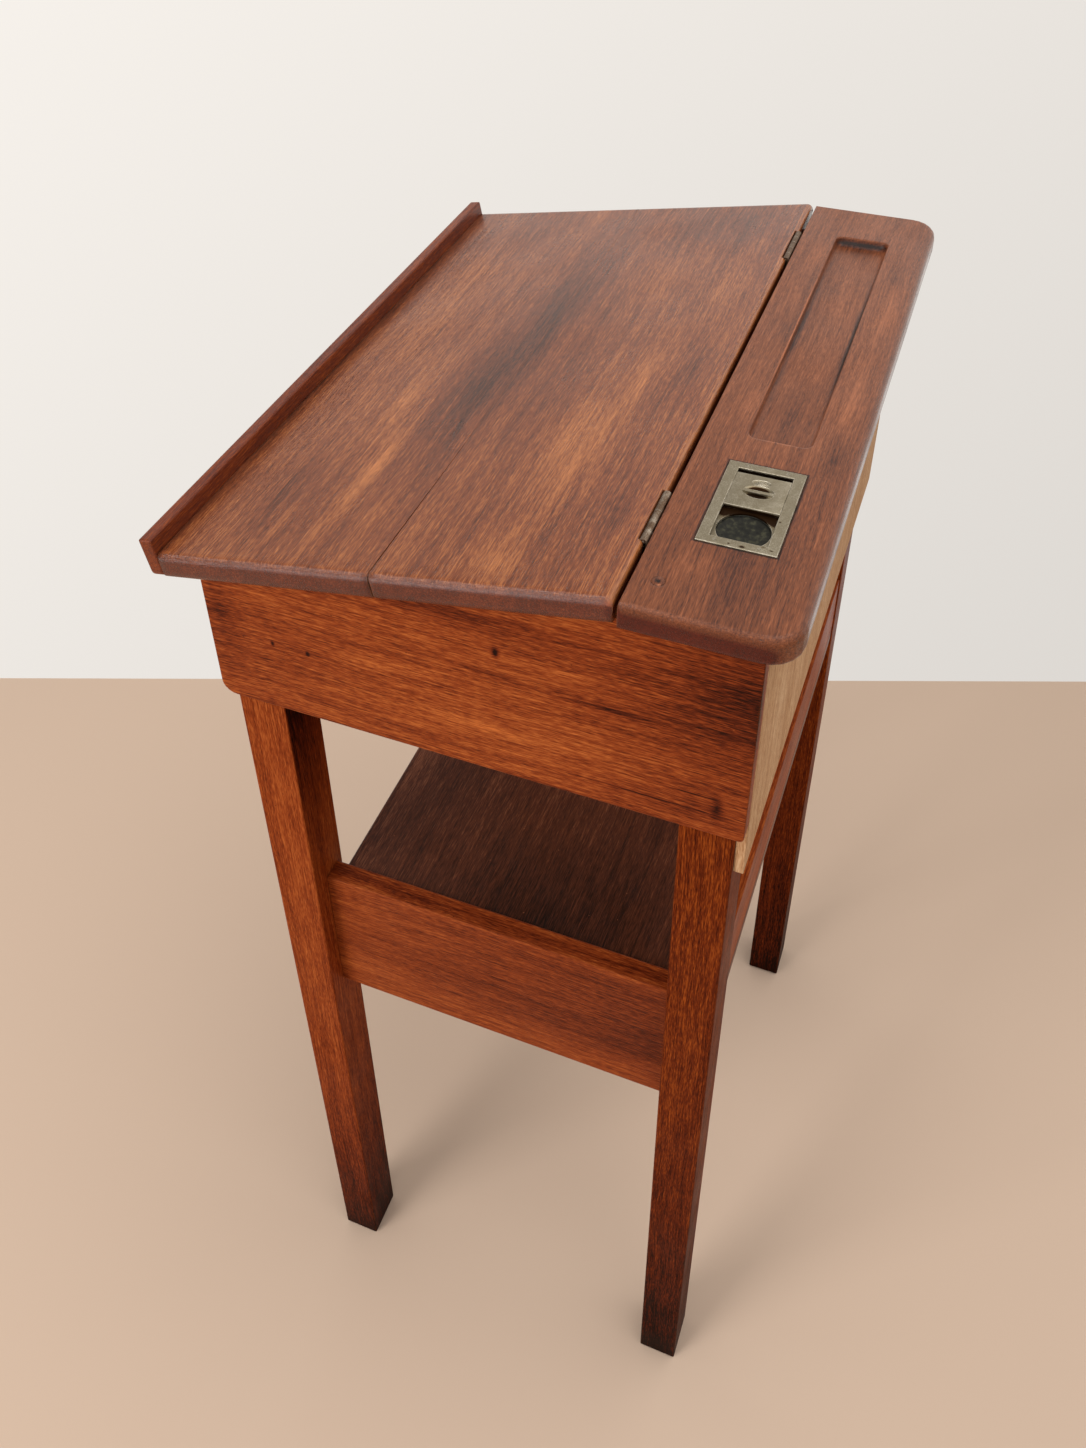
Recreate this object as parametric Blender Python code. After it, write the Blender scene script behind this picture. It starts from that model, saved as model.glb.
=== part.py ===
"""A high writing desk: four legs, a box with a hinged sloping lid, a fixed pen board and a sliding inkwell.

The user stands at -Y. X runs along the width, Z is up, and the floor is at zero, with the
origin under the middle of the desk. All lengths are in metres.
"""

import math

import bmesh
import bpy
from mathutils import Vector

# Allowances between pieces, and how far a cutter runs past what it cuts
SEAT_GAP = 0.0003
OVERRUN = 0.004

# The desk as a whole
DESK_WIDTH = 0.614
BOARD_TOP = 1.146
LID_SLOPE = math.radians(10.67)

# The fixed pen board, with a rounded edge at the back and the ends
BOARD_DEPTH = 0.1162
BOARD_THICKNESS = 0.022
BOARD_CORNER_RADIUS = 0.024
BOARD_NOSE_RUN = 0.0062
BOARD_NOSE_DROP = 0.0075
BOARD_END_RUN = 0.0032
BOARD_FRONT_RUN = 0.0008
BOARD_FOOT_RUN = 0.0017
BOARD_FOOT_DROP = 0.004

# The pen groove in the board, from near its left end to near the inkwell
GROOVE_END_MARGIN = 0.061
GROOVE_WELL_MARGIN = 0.0335
GROOVE_WIDTH = 0.0475
GROOVE_DEPTH = 0.0075
GROOVE_COVE = 0.006
GROOVE_FLOOR_CORNER = 0.0012
GROOVE_ARRIS = 0.0006
GROOVE_FRONT_MARGIN = 0.032

# The plug that hides a screw at the right end of the board
PLUG_RADIUS = 0.0045
PLUG_DEPTH = 0.006
PLUG_END_MARGIN = 0.029
PLUG_FRONT_MARGIN = 0.018

# The lid, measured down its slope from the rear arris
LID_GAP = 0.0033
LID_RISE = 0.001
LID_RUN = 0.3536
LID_THICKNESS = 0.0215
LID_REAR_ROUND_RUN = 0.0045
LID_REAR_ROUND_DROP = 0.004
LID_NOSE_RUN = 0.0042
LID_NOSE_DROP = 0.006
LID_FOOT_DROP = 0.0045
REAR_PLANK_RUN = 0.1732
CRACK_LENGTH = 0.171
CRACK_WIDTH = 0.0009

# The ledge that keeps books from sliding off the lid
LEDGE_THICKNESS = 0.0112
LEDGE_STAND = 0.013
LEDGE_FOOT_RADIUS = 0.006
LEDGE_HEAD_RADIUS = 0.0015
LEDGE_ARRIS = 0.0014

# The box
PANEL_THICKNESS = 0.015
PANEL_LENGTH = 0.423
PANEL_END_OVERHANG = 0.0098
PANEL_BACK_OVERHANG = 0.0212
PANEL_FRONT_RADIUS = 0.012
PANEL_BACK_RADIUS = 0.004
PANEL_ARRIS = 0.0009
BOX_DEPTH = 0.205
FRONT_PANEL_THICKNESS = 0.018
BACK_PANEL_THICKNESS = 0.0077
BACK_PANEL_LEFT_DROP = 0.085
BACK_PANEL_RIGHT_DROP = 0.058
FLOOR_THICKNESS = 0.009
CLEAT_HEIGHT = 0.012
CLEAT_WIDTH = 0.014

# The legs: square to the box, then tapering and splaying slightly to the floor
LEG_WIDTH = 0.048
LEG_DEPTH = 0.0425
FOOT_WIDTH = 0.0475
FOOT_DEPTH = 0.040
LEG_SPLAY = 0.0015
LEG_FRONT_SETBACK = 0.001
LEG_ARRIS = 0.0016
FOOT_CHAMFER = 0.0035

# The stretchers between front and back legs
STRETCHER_TOP = 0.679
STRETCHER_HEIGHT = 0.163
STRETCHER_THICKNESS = 0.021
STRETCHER_INSET = 0.0182
STRETCHER_ARRIS = 0.0018

# The shelf on its cleats, and the rail behind it
SHELF_DROP = 0.003
SHELF_THICKNESS = 0.014
SHELF_FRONT_SETBACK = 0.0105
SHELF_ARRIS = 0.0015
SHELF_CLEAT_HEIGHT = 0.02
SHELF_CLEAT_WIDTH = 0.018
SHELF_CLEAT_MARGIN = 0.012
RAIL_HEIGHT = 0.0735
RAIL_THICKNESS = 0.018
RAIL_SETBACK = 0.0012
RAIL_ARRIS = 0.0012

# Tenons of the stretchers and of the rail
TENON_LENGTH = 0.022
TENON_THICKNESS = 0.009
TENON_SHOULDER = 0.014

# Butt hinges, with knuckles rolled from the leaf
HINGE_LENGTH = 0.057
HINGE_END_MARGIN = 0.0645
LEAF_WIDTH = 0.016
LEAF_THICKNESS = 0.0016
BARREL_RADIUS = 0.0032
PIN_RADIUS = 0.0013
PIN_ROUND = 0.0004
KNUCKLES = 5
KNUCKLE_ROLL = math.radians(288)

# The inkwell's plate, let into the board
WELL_END_MARGIN = 0.0774
WELL_FRONT_MARGIN = 0.028
WELL_LENGTH = 0.0951
WELL_WIDTH = 0.0555
WELL_PROUD = 0.0008
WELL_ARRIS = 0.0004
FRAME_THICKNESS = 0.0018
FRAME_FAR_BORDER = 0.007
FRAME_NEAR_BORDER = 0.0078
FRAME_SIDE_BORDER = 0.0081
BASE_THICKNESS = 0.003
CHANNEL_DEPTH = 0.0016
RIVET_RADIUS = 0.0009
RIVET_SPREAD = 0.030

# The cover that slides over the well
COVER_LENGTH = 0.0385
COVER_REST_GAP = 0.0048
COVER_DROP = 0.0002
TONGUE_REACH = 0.0012
GRIP_LENGTH = 0.019
GRIP_OUTER_BULGE = 0.0052
GRIP_INNER_BULGE = 0.0012
GRIP_RIB = 0.0014
GRIP_DEPTH = 0.0012

# The ink pot that hangs under the plate
HOLE_RADIUS = 0.0188
HOLE_UNDERLAP = 0.003
POT_LIP = 0.0005
POT_WALL = 0.0022
POT_DEPTH = 0.042
FLANGE_REACH = 0.0018
FLANGE_THICKNESS = 0.0025

# Facets of the rounded forms
ARRIS_STEPS = 3
CORNER_STEPS = 5
NOSE_STEPS = 4
TURN_STEPS = 40
SMALL_TURN_STEPS = 16
ROLL_STEPS = 14
GRIP_STEPS = 8
SMOOTH_ANGLE = math.radians(32)
BEVEL_ANGLE = math.radians(35)

SIDES = {"left": -1, "right": 1}

# The stretches of a loft, counted from its first ring, whose long edges are rounded:
# the body of a board between its tenons, and a leg without the straight cut of its foot
BOARD_RINGS = (2,)
LEG_RINGS = (0, 1, 2)

# Places that follow from the sizes above
SIN_SLOPE = math.sin(LID_SLOPE)
COS_SLOPE = math.cos(LID_SLOPE)
HALF_WIDTH = DESK_WIDTH / 2
BOARD_UNDERSIDE = BOARD_TOP - BOARD_THICKNESS
LID_REACH = (
    LID_GAP
    + LID_REAR_ROUND_RUN
    + (LID_RUN + LEDGE_THICKNESS) * COS_SLOPE
    + LEDGE_STAND * SIN_SLOPE
)
BOARD_BACK = (BOARD_DEPTH + LID_REACH) / 2
BOARD_FRONT = BOARD_BACK - BOARD_DEPTH
AXIS_Y = BOARD_FRONT - BARREL_RADIUS - SEAT_GAP
AXIS_Z = BOARD_TOP + LID_RISE - BARREL_RADIUS
LID_REAR_FACE = BOARD_FRONT - LID_GAP
LID_ARRIS_Y = LID_REAR_FACE - LID_REAR_ROUND_RUN
LID_ARRIS_Z = BOARD_TOP + LID_RISE

PANEL_OUTER = HALF_WIDTH - PANEL_END_OVERHANG
PANEL_INNER = PANEL_OUTER - PANEL_THICKNESS
PANEL_BACK = BOARD_BACK - PANEL_BACK_OVERHANG
PANEL_FRONT = PANEL_BACK - PANEL_LENGTH
BOX_BOTTOM = BOARD_TOP - BOX_DEPTH
PANEL_HEAD = BOARD_UNDERSIDE - SEAT_GAP

LEG_OUTER = PANEL_INNER - SEAT_GAP
LEG_BACK = PANEL_BACK - BACK_PANEL_THICKNESS - SEAT_GAP
LEG_FRONT = PANEL_FRONT + LEG_FRONT_SETBACK

STRETCHER_OUTER = LEG_OUTER - STRETCHER_INSET
STRETCHER_INNER = STRETCHER_OUTER - STRETCHER_THICKNESS
STRETCHER_BOTTOM = STRETCHER_TOP - STRETCHER_HEIGHT
SHELF_TOP = STRETCHER_TOP - SHELF_DROP
SHELF_UNDERSIDE = SHELF_TOP - SHELF_THICKNESS
RAIL_BOTTOM = SHELF_TOP + SEAT_GAP
RAIL_TOP = RAIL_BOTTOM + RAIL_HEIGHT
RAIL_BACK = LEG_BACK - RAIL_SETBACK
RAIL_FRONT = RAIL_BACK - RAIL_THICKNESS

CLEAT_TOP = BOX_BOTTOM + CLEAT_HEIGHT
FLOOR_UNDERSIDE = CLEAT_TOP + SEAT_GAP
FLOOR_TOP = FLOOR_UNDERSIDE + FLOOR_THICKNESS

WELL_NEAR = HALF_WIDTH - WELL_END_MARGIN
WELL_FAR = WELL_NEAR - WELL_LENGTH
WELL_CENTRE_X = (WELL_FAR + WELL_NEAR) / 2
WELL_FRONT = BOARD_FRONT + WELL_FRONT_MARGIN
WELL_BACK = WELL_FRONT + WELL_WIDTH
WELL_MIDDLE = (WELL_FRONT + WELL_BACK) / 2
WINDOW_FAR = WELL_FAR + FRAME_FAR_BORDER
WINDOW_NEAR = WELL_NEAR - FRAME_NEAR_BORDER
WINDOW_HALF = WELL_WIDTH / 2 - FRAME_SIDE_BORDER
FRAME_TOP = BOARD_TOP + WELL_PROUD
FRAME_UNDERSIDE = FRAME_TOP - FRAME_THICKNESS
BASE_TOP = FRAME_UNDERSIDE - SEAT_GAP
BASE_UNDERSIDE = BASE_TOP - BASE_THICKNESS
CHANNEL_FLOOR = BASE_TOP - CHANNEL_DEPTH
POCKET_FLOOR = BASE_UNDERSIDE - SEAT_GAP
HOLE_X = WINDOW_NEAR + HOLE_UNDERLAP - HOLE_RADIUS
POT_INNER = HOLE_RADIUS + POT_LIP
POT_OUTER = POT_INNER + POT_WALL
FLANGE_RADIUS = POT_OUTER + FLANGE_REACH
FLANGE_UNDERSIDE = POCKET_FLOOR - FLANGE_THICKNESS
COVER_FAR = WINDOW_FAR + COVER_REST_GAP


def clear_scene():
    for obj in list(bpy.data.objects):
        bpy.data.objects.remove(obj, do_unlink=True)


def make_material(name, colour, roughness, metallic=0.0):
    material = bpy.data.materials.new(name)
    material.use_nodes = True
    shader = material.node_tree.nodes["Principled BSDF"]
    shader.inputs["Base Color"].default_value = (*colour, 1.0)
    shader.inputs["Roughness"].default_value = roughness
    shader.inputs["Metallic"].default_value = metallic
    material.diffuse_color = (*colour, 1.0)
    return material


def corner(centre_u, centre_v, radius_u, radius_v, start):
    """The points of a quarter round, from the angle start anticlockwise."""
    points = []
    for step in range(CORNER_STEPS + 1):
        angle = start + math.pi / 2 * step / CORNER_STEPS
        points.append((centre_u + radius_u * math.cos(angle), centre_v + radius_v * math.sin(angle)))
    return points


def rounded_rectangle(low_u, high_u, low_v, high_v, radius):
    """A rectangle with four equal round corners, anticlockwise from its low left."""
    return (
        corner(low_u + radius, low_v + radius, radius, radius, math.pi)
        + corner(high_u - radius, low_v + radius, radius, radius, math.pi * 1.5)
        + corner(high_u - radius, high_v - radius, radius, radius, 0)
        + corner(low_u + radius, high_v - radius, radius, radius, math.pi / 2)
    )


def rectangle(low_u, high_u, low_v, high_v):
    return [(low_u, low_v), (high_u, low_v), (high_u, high_v), (low_u, high_v)]


def flat_ring(outline, axis, value):
    """The outline's points, standing square to an axis at the given place on it."""
    if axis == "X":
        return [Vector((value, u, v)) for u, v in outline]
    if axis == "Y":
        return [Vector((u, value, v)) for u, v in outline]
    return [Vector((u, v, value)) for u, v in outline]


def loft(rings):
    """A closed mesh through rings of equal length, with a face over each end."""
    mesh = bmesh.new()
    loops = [[mesh.verts.new(point) for point in ring] for ring in rings]
    for lower, upper in zip(loops, loops[1:]):
        for index in range(len(lower)):
            after = (index + 1) % len(lower)
            mesh.faces.new((lower[index], lower[after], upper[after], upper[index]))
    mesh.faces.new(loops[0])
    mesh.faces.new(loops[-1])
    mesh.verts.index_update()
    bmesh.ops.recalc_face_normals(mesh, faces=mesh.faces)
    return mesh


def extrude(outline, axis, low, high):
    return loft([flat_ring(outline, axis, low), flat_ring(outline, axis, high)])


def edges_along(mesh, stretches, rings):
    """The lengthwise edges of a fresh loft, in the stretches between rings that are numbered here."""
    size = len(mesh.verts) // rings
    picked = []
    for edge in mesh.edges:
        low, high = sorted(vert.index for vert in edge.verts)
        if high - low == size and low // size in stretches:
            picked.append(edge)
    return picked


def turn(profile, centre, steps):
    """A turned solid about a vertical axis, from (radius, height) points that start and end on the axis."""
    mesh = bmesh.new()
    points = [mesh.verts.new((centre[0] + radius, centre[1], height)) for radius, height in profile]
    edges = [mesh.edges.new(pair) for pair in zip(points, points[1:])]
    bmesh.ops.spin(
        mesh,
        geom=points + edges,
        cent=(centre[0], centre[1], 0),
        axis=(0, 0, 1),
        angle=math.tau,
        steps=steps,
        use_merge=True,
    )
    bmesh.ops.remove_doubles(mesh, verts=mesh.verts, dist=SEAT_GAP / 10)
    bmesh.ops.recalc_face_normals(mesh, faces=mesh.faces)
    return mesh


def add_object(name, mesh, material, origin=(0, 0, 0), parent=None, smooth=False):
    """Makes the object, with its origin moved to the given point of its own frame."""
    bmesh.ops.translate(mesh, verts=mesh.verts, vec=-Vector(origin))
    data = bpy.data.meshes.new(name)
    mesh.to_mesh(data)
    mesh.free()
    data.materials.append(material)
    if smooth:
        data.shade_smooth()
        data.set_sharp_from_angle(angle=SMOOTH_ANGLE)
    obj = bpy.data.objects.new(name, data)
    obj.location = origin
    obj.parent = parent
    bpy.context.scene.collection.objects.link(obj)
    return obj


def add_cutter(name, mesh):
    data = bpy.data.meshes.new(name)
    mesh.to_mesh(data)
    mesh.free()
    cutter = bpy.data.objects.new(name, data)
    cutter.hide_render = True
    cutter.display_type = "WIRE"
    bpy.context.scene.collection.objects.link(cutter)
    return cutter


def cut(obj, cutter):
    boolean = obj.modifiers.new(cutter.name, "BOOLEAN")
    boolean.operation = "DIFFERENCE"
    boolean.object = cutter


def round_arrises(obj, width, segments=2):
    bevel = obj.modifiers.new("arris", "BEVEL")
    bevel.width = width
    bevel.segments = segments
    bevel.limit_method = "ANGLE"
    bevel.angle_limit = BEVEL_ANGLE


def round_edges(mesh, edges, width):
    bmesh.ops.bevel(
        mesh,
        geom=edges,
        offset=width,
        offset_type="OFFSET",
        segments=ARRIS_STEPS,
        profile=0.5,
        affect="EDGES",
    )


def lid_underside(y):
    """Height of the lid's lower face at a place along Y."""
    return LID_ARRIS_Z + (y - LID_ARRIS_Y) * SIN_SLOPE / COS_SLOPE - LID_THICKNESS / COS_SLOPE


def under_lid(y):
    """Height of what stands under the lid or under the pen board at a place along Y."""
    return min(lid_underside(y) - SEAT_GAP, PANEL_HEAD)


def lid_frame(y, z):
    """A point of the desk in the lid's own frame: along the slope, and square to it."""
    return (
        (y - AXIS_Y) * COS_SLOPE + (z - AXIS_Z) * SIN_SLOPE,
        (z - AXIS_Z) * COS_SLOPE - (y - AXIS_Y) * SIN_SLOPE,
    )


LID_ARRIS_RUN, LID_HEAD = lid_frame(LID_ARRIS_Y, LID_ARRIS_Z)
LID_FOOT = LID_HEAD - LID_THICKNESS
JOINT_RUN = LID_ARRIS_RUN - REAR_PLANK_RUN
LEDGE_FACE_RUN = LID_ARRIS_RUN - LID_RUN


def leg_share(z):
    """How far down its tapering length a leg is at a height, from 0 at the box to 1 at the floor."""
    return max(0, (BOX_BOTTOM - z) / BOX_BOTTOM)


def leg_outer(z):
    return LEG_OUTER + LEG_SPLAY * leg_share(z)


def leg_inner(z):
    return leg_outer(z) - LEG_WIDTH + (LEG_WIDTH - FOOT_WIDTH) * leg_share(z)


def leg_depth(z):
    return LEG_DEPTH + (FOOT_DEPTH - LEG_DEPTH) * leg_share(z)


def back_leg_back(z):
    return LEG_BACK + LEG_SPLAY * leg_share(z)


def back_leg_front(z):
    return back_leg_back(z) - leg_depth(z)


def front_leg_front(z):
    return LEG_FRONT - LEG_SPLAY * leg_share(z)


def front_leg_back(z):
    return front_leg_front(z) + leg_depth(z)


def leg_ring(side, front, back, z, inset=0, head=None):
    """The four corners of a leg at a height, drawn in by an inset, or cut off at its top by head(y)."""
    low_y = front(z) + inset
    high_y = back(z) - inset
    inner = side * (leg_inner(z) + inset)
    outer = side * (leg_outer(z) - inset)
    ring = []
    for x, y in ((inner, low_y), (outer, low_y), (outer, high_y), (inner, high_y)):
        ring.append(Vector((x, y, head(y) if head else z)))
    return ring


def stretcher_ends(z):
    return front_leg_back(z) + SEAT_GAP, back_leg_front(z) - SEAT_GAP


def stretcher_ring(side, low_z, high_z, inner, outer, at_back, reach):
    """A ring square to the stretcher's length, its ends following the legs' faces, run out by a reach."""
    ring = []
    for x, z in rectangle(inner, outer, low_z, high_z):
        front, back = stretcher_ends(z)
        y = back + reach if at_back else front - reach
        ring.append(Vector((side * x, y, z)))
    return ring


def stretcher_tenon(grow):
    """The tenon's section, grown by an amount: its foot, its head, and its inner and outer faces."""
    middle = (STRETCHER_INNER + STRETCHER_OUTER) / 2
    half = TENON_THICKNESS / 2 + grow
    foot = STRETCHER_BOTTOM + TENON_SHOULDER - grow
    head = STRETCHER_TOP - TENON_SHOULDER + grow
    return foot, head, middle - half, middle + half


def make_stretcher(name, side, wood):
    tenon = stretcher_tenon(0)
    board = (STRETCHER_BOTTOM, STRETCHER_TOP, STRETCHER_INNER, STRETCHER_OUTER)
    rings = [
        stretcher_ring(side, *tenon, False, TENON_LENGTH),
        stretcher_ring(side, *tenon, False, 0),
        stretcher_ring(side, *board, False, 0),
        stretcher_ring(side, *board, True, 0),
        stretcher_ring(side, *tenon, True, 0),
        stretcher_ring(side, *tenon, True, TENON_LENGTH),
    ]
    mesh = loft(rings)
    round_edges(mesh, edges_along(mesh, BOARD_RINGS, len(rings)), STRETCHER_ARRIS)
    return add_object(name, mesh, wood, origin=(side * STRETCHER_INNER, 0, STRETCHER_BOTTOM))


def stretcher_mortise(name, side, at_back):
    tenon = stretcher_tenon(SEAT_GAP)
    return add_cutter(
        name,
        loft(
            [
                stretcher_ring(side, *tenon, at_back, -OVERRUN),
                stretcher_ring(side, *tenon, at_back, TENON_LENGTH + SEAT_GAP),
            ]
        ),
    )


def rail_ring(side, low_z, high_z, front, back, reach):
    """A ring square to the rail's length at one leg's inner face, run out by a reach."""
    ring = []
    for y, z in rectangle(front, back, low_z, high_z):
        ring.append(Vector((side * (leg_inner(z) - SEAT_GAP + reach), y, z)))
    return ring


def rail_tenon(grow):
    middle = (RAIL_FRONT + RAIL_BACK) / 2
    half = TENON_THICKNESS / 2 + grow
    foot = RAIL_BOTTOM + TENON_SHOULDER - grow
    head = RAIL_TOP - TENON_SHOULDER + grow
    return foot, head, middle - half, middle + half


def make_rail(wood):
    tenon = rail_tenon(0)
    board = (RAIL_BOTTOM, RAIL_TOP, RAIL_FRONT, RAIL_BACK)
    rings = [
        rail_ring(-1, *tenon, TENON_LENGTH),
        rail_ring(-1, *tenon, 0),
        rail_ring(-1, *board, 0),
        rail_ring(1, *board, 0),
        rail_ring(1, *tenon, 0),
        rail_ring(1, *tenon, TENON_LENGTH),
    ]
    mesh = loft(rings)
    round_edges(mesh, edges_along(mesh, BOARD_RINGS, len(rings)), RAIL_ARRIS)
    return add_object("back_rail", mesh, wood, origin=(0, RAIL_BACK, RAIL_BOTTOM))


def rail_mortise(name, side):
    tenon = rail_tenon(SEAT_GAP)
    rings = [rail_ring(side, *tenon, -OVERRUN), rail_ring(side, *tenon, TENON_LENGTH + SEAT_GAP)]
    return add_cutter(name, loft(rings))


def make_leg(name, side, at_back, wood):
    front, back = (back_leg_front, back_leg_back) if at_back else (front_leg_front, front_leg_back)
    rings = [
        leg_ring(side, front, back, 0, inset=FOOT_CHAMFER),
        leg_ring(side, front, back, FOOT_CHAMFER),
        leg_ring(side, front, back, BOX_BOTTOM),
        leg_ring(side, front, back, PANEL_HEAD, head=under_lid),
    ]
    mesh = loft(rings)
    round_edges(mesh, edges_along(mesh, LEG_RINGS, len(rings)), LEG_ARRIS)
    origin = (side * leg_outer(0), back(0) if at_back else front(0), 0)
    leg = add_object(name, mesh, wood, origin=origin)
    cut(leg, stretcher_mortise(f"{name}_stretcher_mortise", side, at_back))
    if at_back:
        cut(leg, rail_mortise(f"{name}_rail_mortise", side))
    return leg


def make_side_panel(name, side, wood):
    rise = PANEL_HEAD + SEAT_GAP - lid_underside(LID_ARRIS_Y)
    slope_end = LID_ARRIS_Y + rise * COS_SLOPE / SIN_SLOPE
    front_low = corner(
        PANEL_FRONT + PANEL_FRONT_RADIUS,
        BOX_BOTTOM + PANEL_FRONT_RADIUS,
        PANEL_FRONT_RADIUS,
        PANEL_FRONT_RADIUS,
        math.pi,
    )
    back_low = corner(
        PANEL_BACK - PANEL_BACK_RADIUS,
        BOX_BOTTOM + PANEL_BACK_RADIUS,
        PANEL_BACK_RADIUS,
        PANEL_BACK_RADIUS,
        math.pi * 1.5,
    )
    head = [(PANEL_BACK, PANEL_HEAD), (slope_end, PANEL_HEAD), (PANEL_FRONT, under_lid(PANEL_FRONT))]
    mesh = extrude(front_low + back_low + head, "X", side * PANEL_INNER, side * PANEL_OUTER)
    panel = add_object(name, mesh, wood, origin=(side * PANEL_INNER, PANEL_BACK, BOX_BOTTOM))
    round_arrises(panel, PANEL_ARRIS)
    return panel


def make_front_panel(wood):
    """The board between the front legs, its head planed to the lid's slope."""
    front = LEG_FRONT
    back = LEG_FRONT + FRONT_PANEL_THICKNESS
    outline = [(front, BOX_BOTTOM), (back, BOX_BOTTOM), (back, under_lid(back)), (front, under_lid(front))]
    reach = leg_inner(BOX_BOTTOM) - SEAT_GAP
    mesh = extrude(outline, "X", -reach, reach)
    panel = add_object("front_panel", mesh, wood, origin=(0, front, BOX_BOTTOM))
    round_arrises(panel, PANEL_ARRIS)
    return panel


def make_back_panel(wood):
    """The board planted on the back legs, between the side panels, its lower edge sawn a little askew."""
    low = BOX_BOTTOM - BACK_PANEL_LEFT_DROP
    reach = PANEL_INNER - SEAT_GAP
    outline = [(-reach, low), (reach, BOX_BOTTOM - BACK_PANEL_RIGHT_DROP), (reach, PANEL_HEAD), (-reach, PANEL_HEAD)]
    mesh = extrude(outline, "Y", PANEL_BACK - BACK_PANEL_THICKNESS, PANEL_BACK)
    panel = add_object("back_panel", mesh, wood, origin=(0, PANEL_BACK, low))
    round_arrises(panel, PANEL_ARRIS)
    return panel


def make_box_floor(wood):
    """The floor of the box, notched round the tops of the four legs."""
    wide = PANEL_INNER - SEAT_GAP
    narrow = leg_inner(BOX_BOTTOM) - SEAT_GAP
    front = LEG_FRONT + FRONT_PANEL_THICKNESS + SEAT_GAP
    front_notch = front_leg_back(BOX_BOTTOM) + SEAT_GAP
    back_notch = back_leg_front(BOX_BOTTOM) - SEAT_GAP
    back = PANEL_BACK - BACK_PANEL_THICKNESS - SEAT_GAP
    right = [(narrow, front), (narrow, front_notch), (wide, front_notch)]
    right += [(wide, back_notch), (narrow, back_notch), (narrow, back)]
    left = [(-x, y) for x, y in reversed(right)]
    mesh = extrude(right + left, "Z", FLOOR_UNDERSIDE, FLOOR_TOP)
    return add_object("box_floor", mesh, wood, origin=(0, back, FLOOR_UNDERSIDE))


def make_cleat(name, side, outer, width, low_z, high_z, margin, wood):
    """A strip between the legs that carries a floor or a shelf along one side."""
    front = front_leg_back(low_z) + SEAT_GAP + margin
    back = back_leg_front(high_z) - SEAT_GAP
    inner = outer - width
    mesh = extrude(rectangle(front, back, low_z, high_z), "X", side * inner, side * outer)
    cleat = add_object(name, mesh, wood, origin=(side * outer, back, low_z))
    round_arrises(cleat, PANEL_ARRIS)
    return cleat


def make_shelf(wood):
    """The shelf between the stretchers, notched round the back legs and running under the rail."""
    wide = STRETCHER_INNER - SEAT_GAP
    narrow = leg_inner(SHELF_TOP) - SEAT_GAP
    front = front_leg_back(SHELF_TOP) + SHELF_FRONT_SETBACK
    notch = back_leg_front(SHELF_TOP) - SEAT_GAP
    right = [(wide, front), (wide, notch), (narrow, notch), (narrow, RAIL_BACK)]
    left = [(-x, y) for x, y in reversed(right)]
    mesh = extrude(right + left, "Z", SHELF_UNDERSIDE, SHELF_TOP)
    front_y = min(vert.co.y for vert in mesh.verts)
    front_edges = [edge for edge in mesh.edges if all(vert.co.y == front_y for vert in edge.verts)]
    level_edges = [edge for edge in front_edges if edge.verts[0].co.z == edge.verts[1].co.z]
    round_edges(mesh, level_edges, SHELF_ARRIS)
    return add_object("shelf", mesh, wood, origin=(0, RAIL_BACK, SHELF_UNDERSIDE))


def board_ring(end_inset, back_inset, front_inset, z):
    """The pen board's outline at a height, drawn in from its fullest lines."""
    across = HALF_WIDTH - BOARD_CORNER_RADIUS
    along = BOARD_BACK - BOARD_CORNER_RADIUS
    radius_u = BOARD_CORNER_RADIUS - end_inset
    radius_v = BOARD_CORNER_RADIUS - back_inset
    outline = [(-HALF_WIDTH + end_inset, BOARD_FRONT + front_inset)]
    outline += [(HALF_WIDTH - end_inset, BOARD_FRONT + front_inset)]
    outline += corner(across, along, radius_u, radius_v, 0)
    outline += corner(-across, along, radius_u, radius_v, math.pi / 2)
    return flat_ring(outline, "Z", z)


def make_pen_board(wood):
    rings = []
    for step in range(NOSE_STEPS + 1):
        angle = math.pi / 2 * step / NOSE_STEPS
        share = 1 - math.sin(angle)
        z = BOARD_UNDERSIDE + BOARD_FOOT_DROP * (1 - math.cos(angle))
        rings.append(board_ring(BOARD_FOOT_RUN * share, BOARD_FOOT_RUN * share, 0, z))
    for step in range(NOSE_STEPS + 1):
        angle = math.pi / 2 * (1 - step / NOSE_STEPS)
        share = 1 - math.sin(angle)
        z = BOARD_TOP - BOARD_NOSE_DROP * (1 - math.cos(angle))
        rings.append(board_ring(BOARD_END_RUN * share, BOARD_NOSE_RUN * share, BOARD_FRONT_RUN * share, z))
    board = add_object("pen_board", loft(rings), wood, origin=(0, BOARD_FRONT, BOARD_UNDERSIDE), smooth=True)
    cut(board, groove_cutter())
    cut(board, well_pocket_cutter())
    cut(board, pot_cutter())
    cut(board, plug_cutter())
    return board


def groove_ring(inset, z):
    front = BOARD_FRONT + GROOVE_FRONT_MARGIN
    radius = GROOVE_COVE + GROOVE_FLOOR_CORNER - inset
    outline = rounded_rectangle(
        -HALF_WIDTH + GROOVE_END_MARGIN + inset,
        WELL_FAR - GROOVE_WELL_MARGIN - inset,
        front + inset,
        front + GROOVE_WIDTH - inset,
        radius,
    )
    return flat_ring(outline, "Z", z)


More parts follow.
